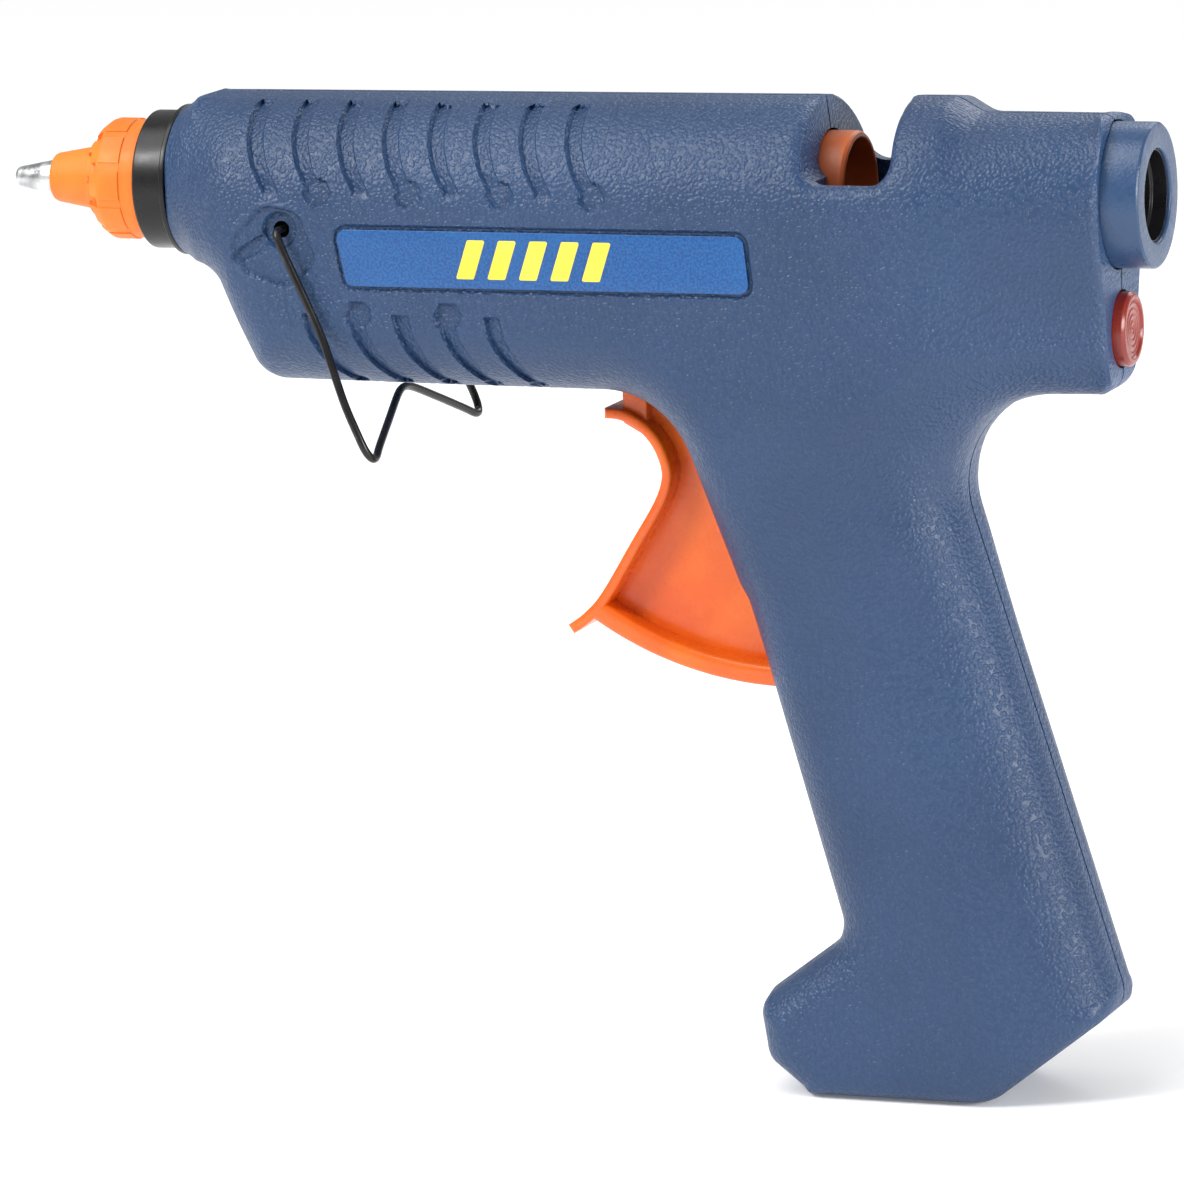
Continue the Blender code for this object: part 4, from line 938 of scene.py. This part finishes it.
def make_trigger():
    flange = 1.8
    knots = [(6.6, -38.7, 0), (9.2, -38.9, 0), (12.0, -40.2, 0), (14.4, -42.4, 0), (16.0, -45.4, 0),
             (16.5, -48.6, 0), (15.0, -52.8, 0), (10.9, -59.4, 0), (5.1, -68.7, 0), (1.7, -72.4, 0),
             (-1.1, -74.4, 0)]
    face = [(p.x, p.y) for p in smooth_route(knots, 4)]
    web_top = [(47.7, -68.8), (43.3, -60.8), (42.3, -28.8), (41.3, -17.8), (35.3, -16.8),
               (15.7, -30.2), (11.3, -30.2), (11.3, -38.9)]
    web_foot = sweep_arc(TRIGGER_SWEEP - flange / 2.0, 3.9, 47.7, 30)
    outline = web_top + set_back(face, flange / 2.0)[8:-8] + web_foot
    trigger = plate("squeeze_trigger", outline, -1.5, 1.5, "trigger_orange")
    band = face + set_back(face, flange)[::-1]
    sweep = (sweep_arc(TRIGGER_SWEEP, 2.2, 48.3, 36)
             + sweep_arc(TRIGGER_SWEEP - 3.6, 5.0, 48.3, 36)[::-1])
    post = [(9.3, -39.6, 0.3), (9.3, -34.0, 0.3), (13.6, -34.0, 0.3), (13.6, -42.0, 0.3)]
    tools = [plate("face_band", band, -TRIGGER_HALF, TRIGGER_HALF, None, 0.6),
             plate("sweep_band", sweep, -TRIGGER_HALF + 0.03, TRIGGER_HALF - 0.03, None, 0.95),
             plate("post", rounded(post, 30.0), -4.4, 4.4, None, 0.25),
             rod("hub", 5.0, (PIVOT.x, -12.6, PIVOT.z), (PIVOT.x, 12.6, PIVOT.z))]
    arm = [(33.5, PIVOT.z), (33.5, 3.0), (34.7, 4.2), (35.9, 4.2), (35.9, -1.2), (37.1, -2.5),
           (39.5, -2.5), (40.7, -1.2), (40.7, 4.2), (41.5, 4.2), (42.3, 3.0), (42.3, PIVOT.z)]
    for side in (-1.0, 1.0):
        low, high = sorted((side * 9.6, side * 12.6))
        tools.append(plate(f"arm{side:+.0f}", arm, low, high))
    trigger = combined(trigger, tools, "UNION", 0.03)
    trigger = combined(trigger, [rod("bore", 2.3, (PIVOT.x, -20.0, PIVOT.z), (PIVOT.x, 20.0, PIVOT.z))],
                       "DIFFERENCE")
    ride(trigger, "trigger", "trigger_plastic", "trigger")


# ==== stand and labels =================================================================================
def make_stand():
    x, z = STAND_HOLE
    side = [(x, 16.4, z), (x, 21.0, z), (-45.3, 22.3, -6.2), (-44.0, 22.6, -9.0), (-39.6, 22.6, -18.6),
            (-37.3, 22.8, -23.6), (-35.4, 24.0, -27.9), (-32.4, 26.0, -34.4), (-30.2, 26.4, -39.0),
            (-29.0, 26.3, -41.8), (-28.2, 25.2, -43.5), (-28.1, 23.4, -43.6), (-28.7, 20.8, -42.4),
            (-30.1, 12.6, -39.2), (-31.5, 4.8, -36.2), (-31.9, 2.2, -35.4)]
    other = [(a, -b, c) for a, b, c in reversed(side)]
    route = bent_route(side + [(-32.0, 0.0, -35.1)] + other)
    curve = bpy.data.curves.new("bent_wire", "CURVE")
    curve.dimensions = "3D"
    curve.bevel_depth = 0.7 * MM
    curve.bevel_resolution = 6
    curve.use_fill_caps = True
    spline = curve.splines.new("POLY")
    spline.points.add(len(route) - 1)
    for point, place in zip(spline.points, route):
        point.co = (*at(*place), 1.0)
    wire = add_object("bent_wire", curve, "wire_black")
    ride(wire, "stand", "stand_wire", "wire_stand")


def make_labels():
    for name, side in (("left", -1.0), ("right", 1.0)):
        low, high = sorted((side * 20.45, side * 20.9))
        label = plate(name + "_film", rounded(LABEL_OUTLINE, 12.0), low, high, "label_print", 0.1)
        ride(label, "body", "label_film", name + "_label")
        low, high = sorted((side * 20.8, side * 20.95))
        for k in range(5):
            x = -13.6 + 5.6 * k
            bar = [(x, -13.2, 0.3), (x + 2.2, -6.6, 0.3), (x + 5.4, -6.6, 0.3), (x + 3.2, -13.2, 0.3)]
            stripe = plate(f"{name}_stripe_{k + 1}", rounded(bar, 30.0), low, high, "motif_yellow", 0.05)
            ride(stripe, "body", "label_film")


# ==== floor, light and camera ============================================================================
def make_floor():
    bm = bmesh.new()
    bmesh.ops.create_grid(bm, x_segments=1, y_segments=1, size=8.0)
    mesh = bpy.data.meshes.new("floor")
    bm.to_mesh(mesh)
    bm.free()
    floor = add_object("floor", mesh)
    material = bpy.data.materials.new("floor_white")
    material.use_nodes = True
    shader = material.node_tree.nodes["Principled BSDF"]
    shader.inputs["Base Color"].default_value = (0.95, 0.95, 0.95, 1.0)
    shader.inputs["Roughness"].default_value = 0.95
    shader.inputs["Specular IOR Level"].default_value = 0.1
    shader.inputs["Emission Color"].default_value = (1.0, 1.0, 1.0, 1.0)
    shader.inputs["Emission Strength"].default_value = 0.12
    mesh.materials.append(material)


def lamp(name, kind, place, target, power, size=0.0):
    """Softbox of a size in metres, or a sun whose size is an angle in degrees."""
    light = bpy.data.lights.new(name, kind)
    light.energy = power
    if kind == "SUN":
        light.angle = math.radians(size)
    else:
        light.size = size
    obj = bpy.data.objects.new(name, light)
    bpy.context.scene.collection.objects.link(obj)
    obj.location = place
    obj.rotation_euler = (Vector(target) - Vector(place)).to_track_quat("-Z", "Y").to_euler()


def make_lights():
    middle = (0.0, 0.0, 0.09)
    lamp("overhead", "SUN", (-0.5, -0.35, 1.2), middle, 1.7, 45.0)
    lamp("key", "AREA", (-0.55, -0.65, 0.75), middle, 6.0, 0.30)
    lamp("rear_box", "AREA", (0.95, -0.30, 0.35), middle, 6.5, 0.35)
    lamp("rim", "AREA", (0.15, 0.85, 0.75), middle, 3.0, 0.6)
    world = bpy.data.worlds.new("studio")
    world.use_nodes = True
    world.node_tree.nodes["Background"].inputs["Color"].default_value = (1.0, 1.0, 1.0, 1.0)
    world.node_tree.nodes["Background"].inputs["Strength"].default_value = 0.42
    bpy.context.scene.world = world
    bpy.context.scene.view_settings.view_transform = "Standard"


def make_camera():
    """The view of the gun's left side, a little from the rear and from above."""
    azimuth, height, roll = (math.radians(angle) for angle in (20.5, 10.5, 1.82))
    target = Vector((0.0011, 0.0, 0.0828))
    back = Vector((math.sin(azimuth) * math.cos(height), -math.cos(azimuth) * math.cos(height),
                   math.sin(height)))
    right = Vector((math.cos(azimuth), math.sin(azimuth), 0.0))
    up = back.cross(right)
    turned_right = right * math.cos(roll) - up * math.sin(roll)
    turned_up = up * math.cos(roll) + right * math.sin(roll)
    data = bpy.data.cameras.new("camera")
    data.lens = 231.9
    data.sensor_width = 36.0
    camera = bpy.data.objects.new("camera", data)
    bpy.context.scene.collection.objects.link(camera)
    place = Matrix((turned_right, turned_up, back)).transposed().to_4x4()
    place.translation = target + back * 1.3
    camera.matrix_world = place
    bpy.context.scene.camera = camera


make_camera()
make_materials()
finish_nodes()
make_shells()
make_nozzle()
make_carriage()
make_collar()
make_button()
make_trigger()
make_stand()
make_labels()
make_floor()
make_lights()
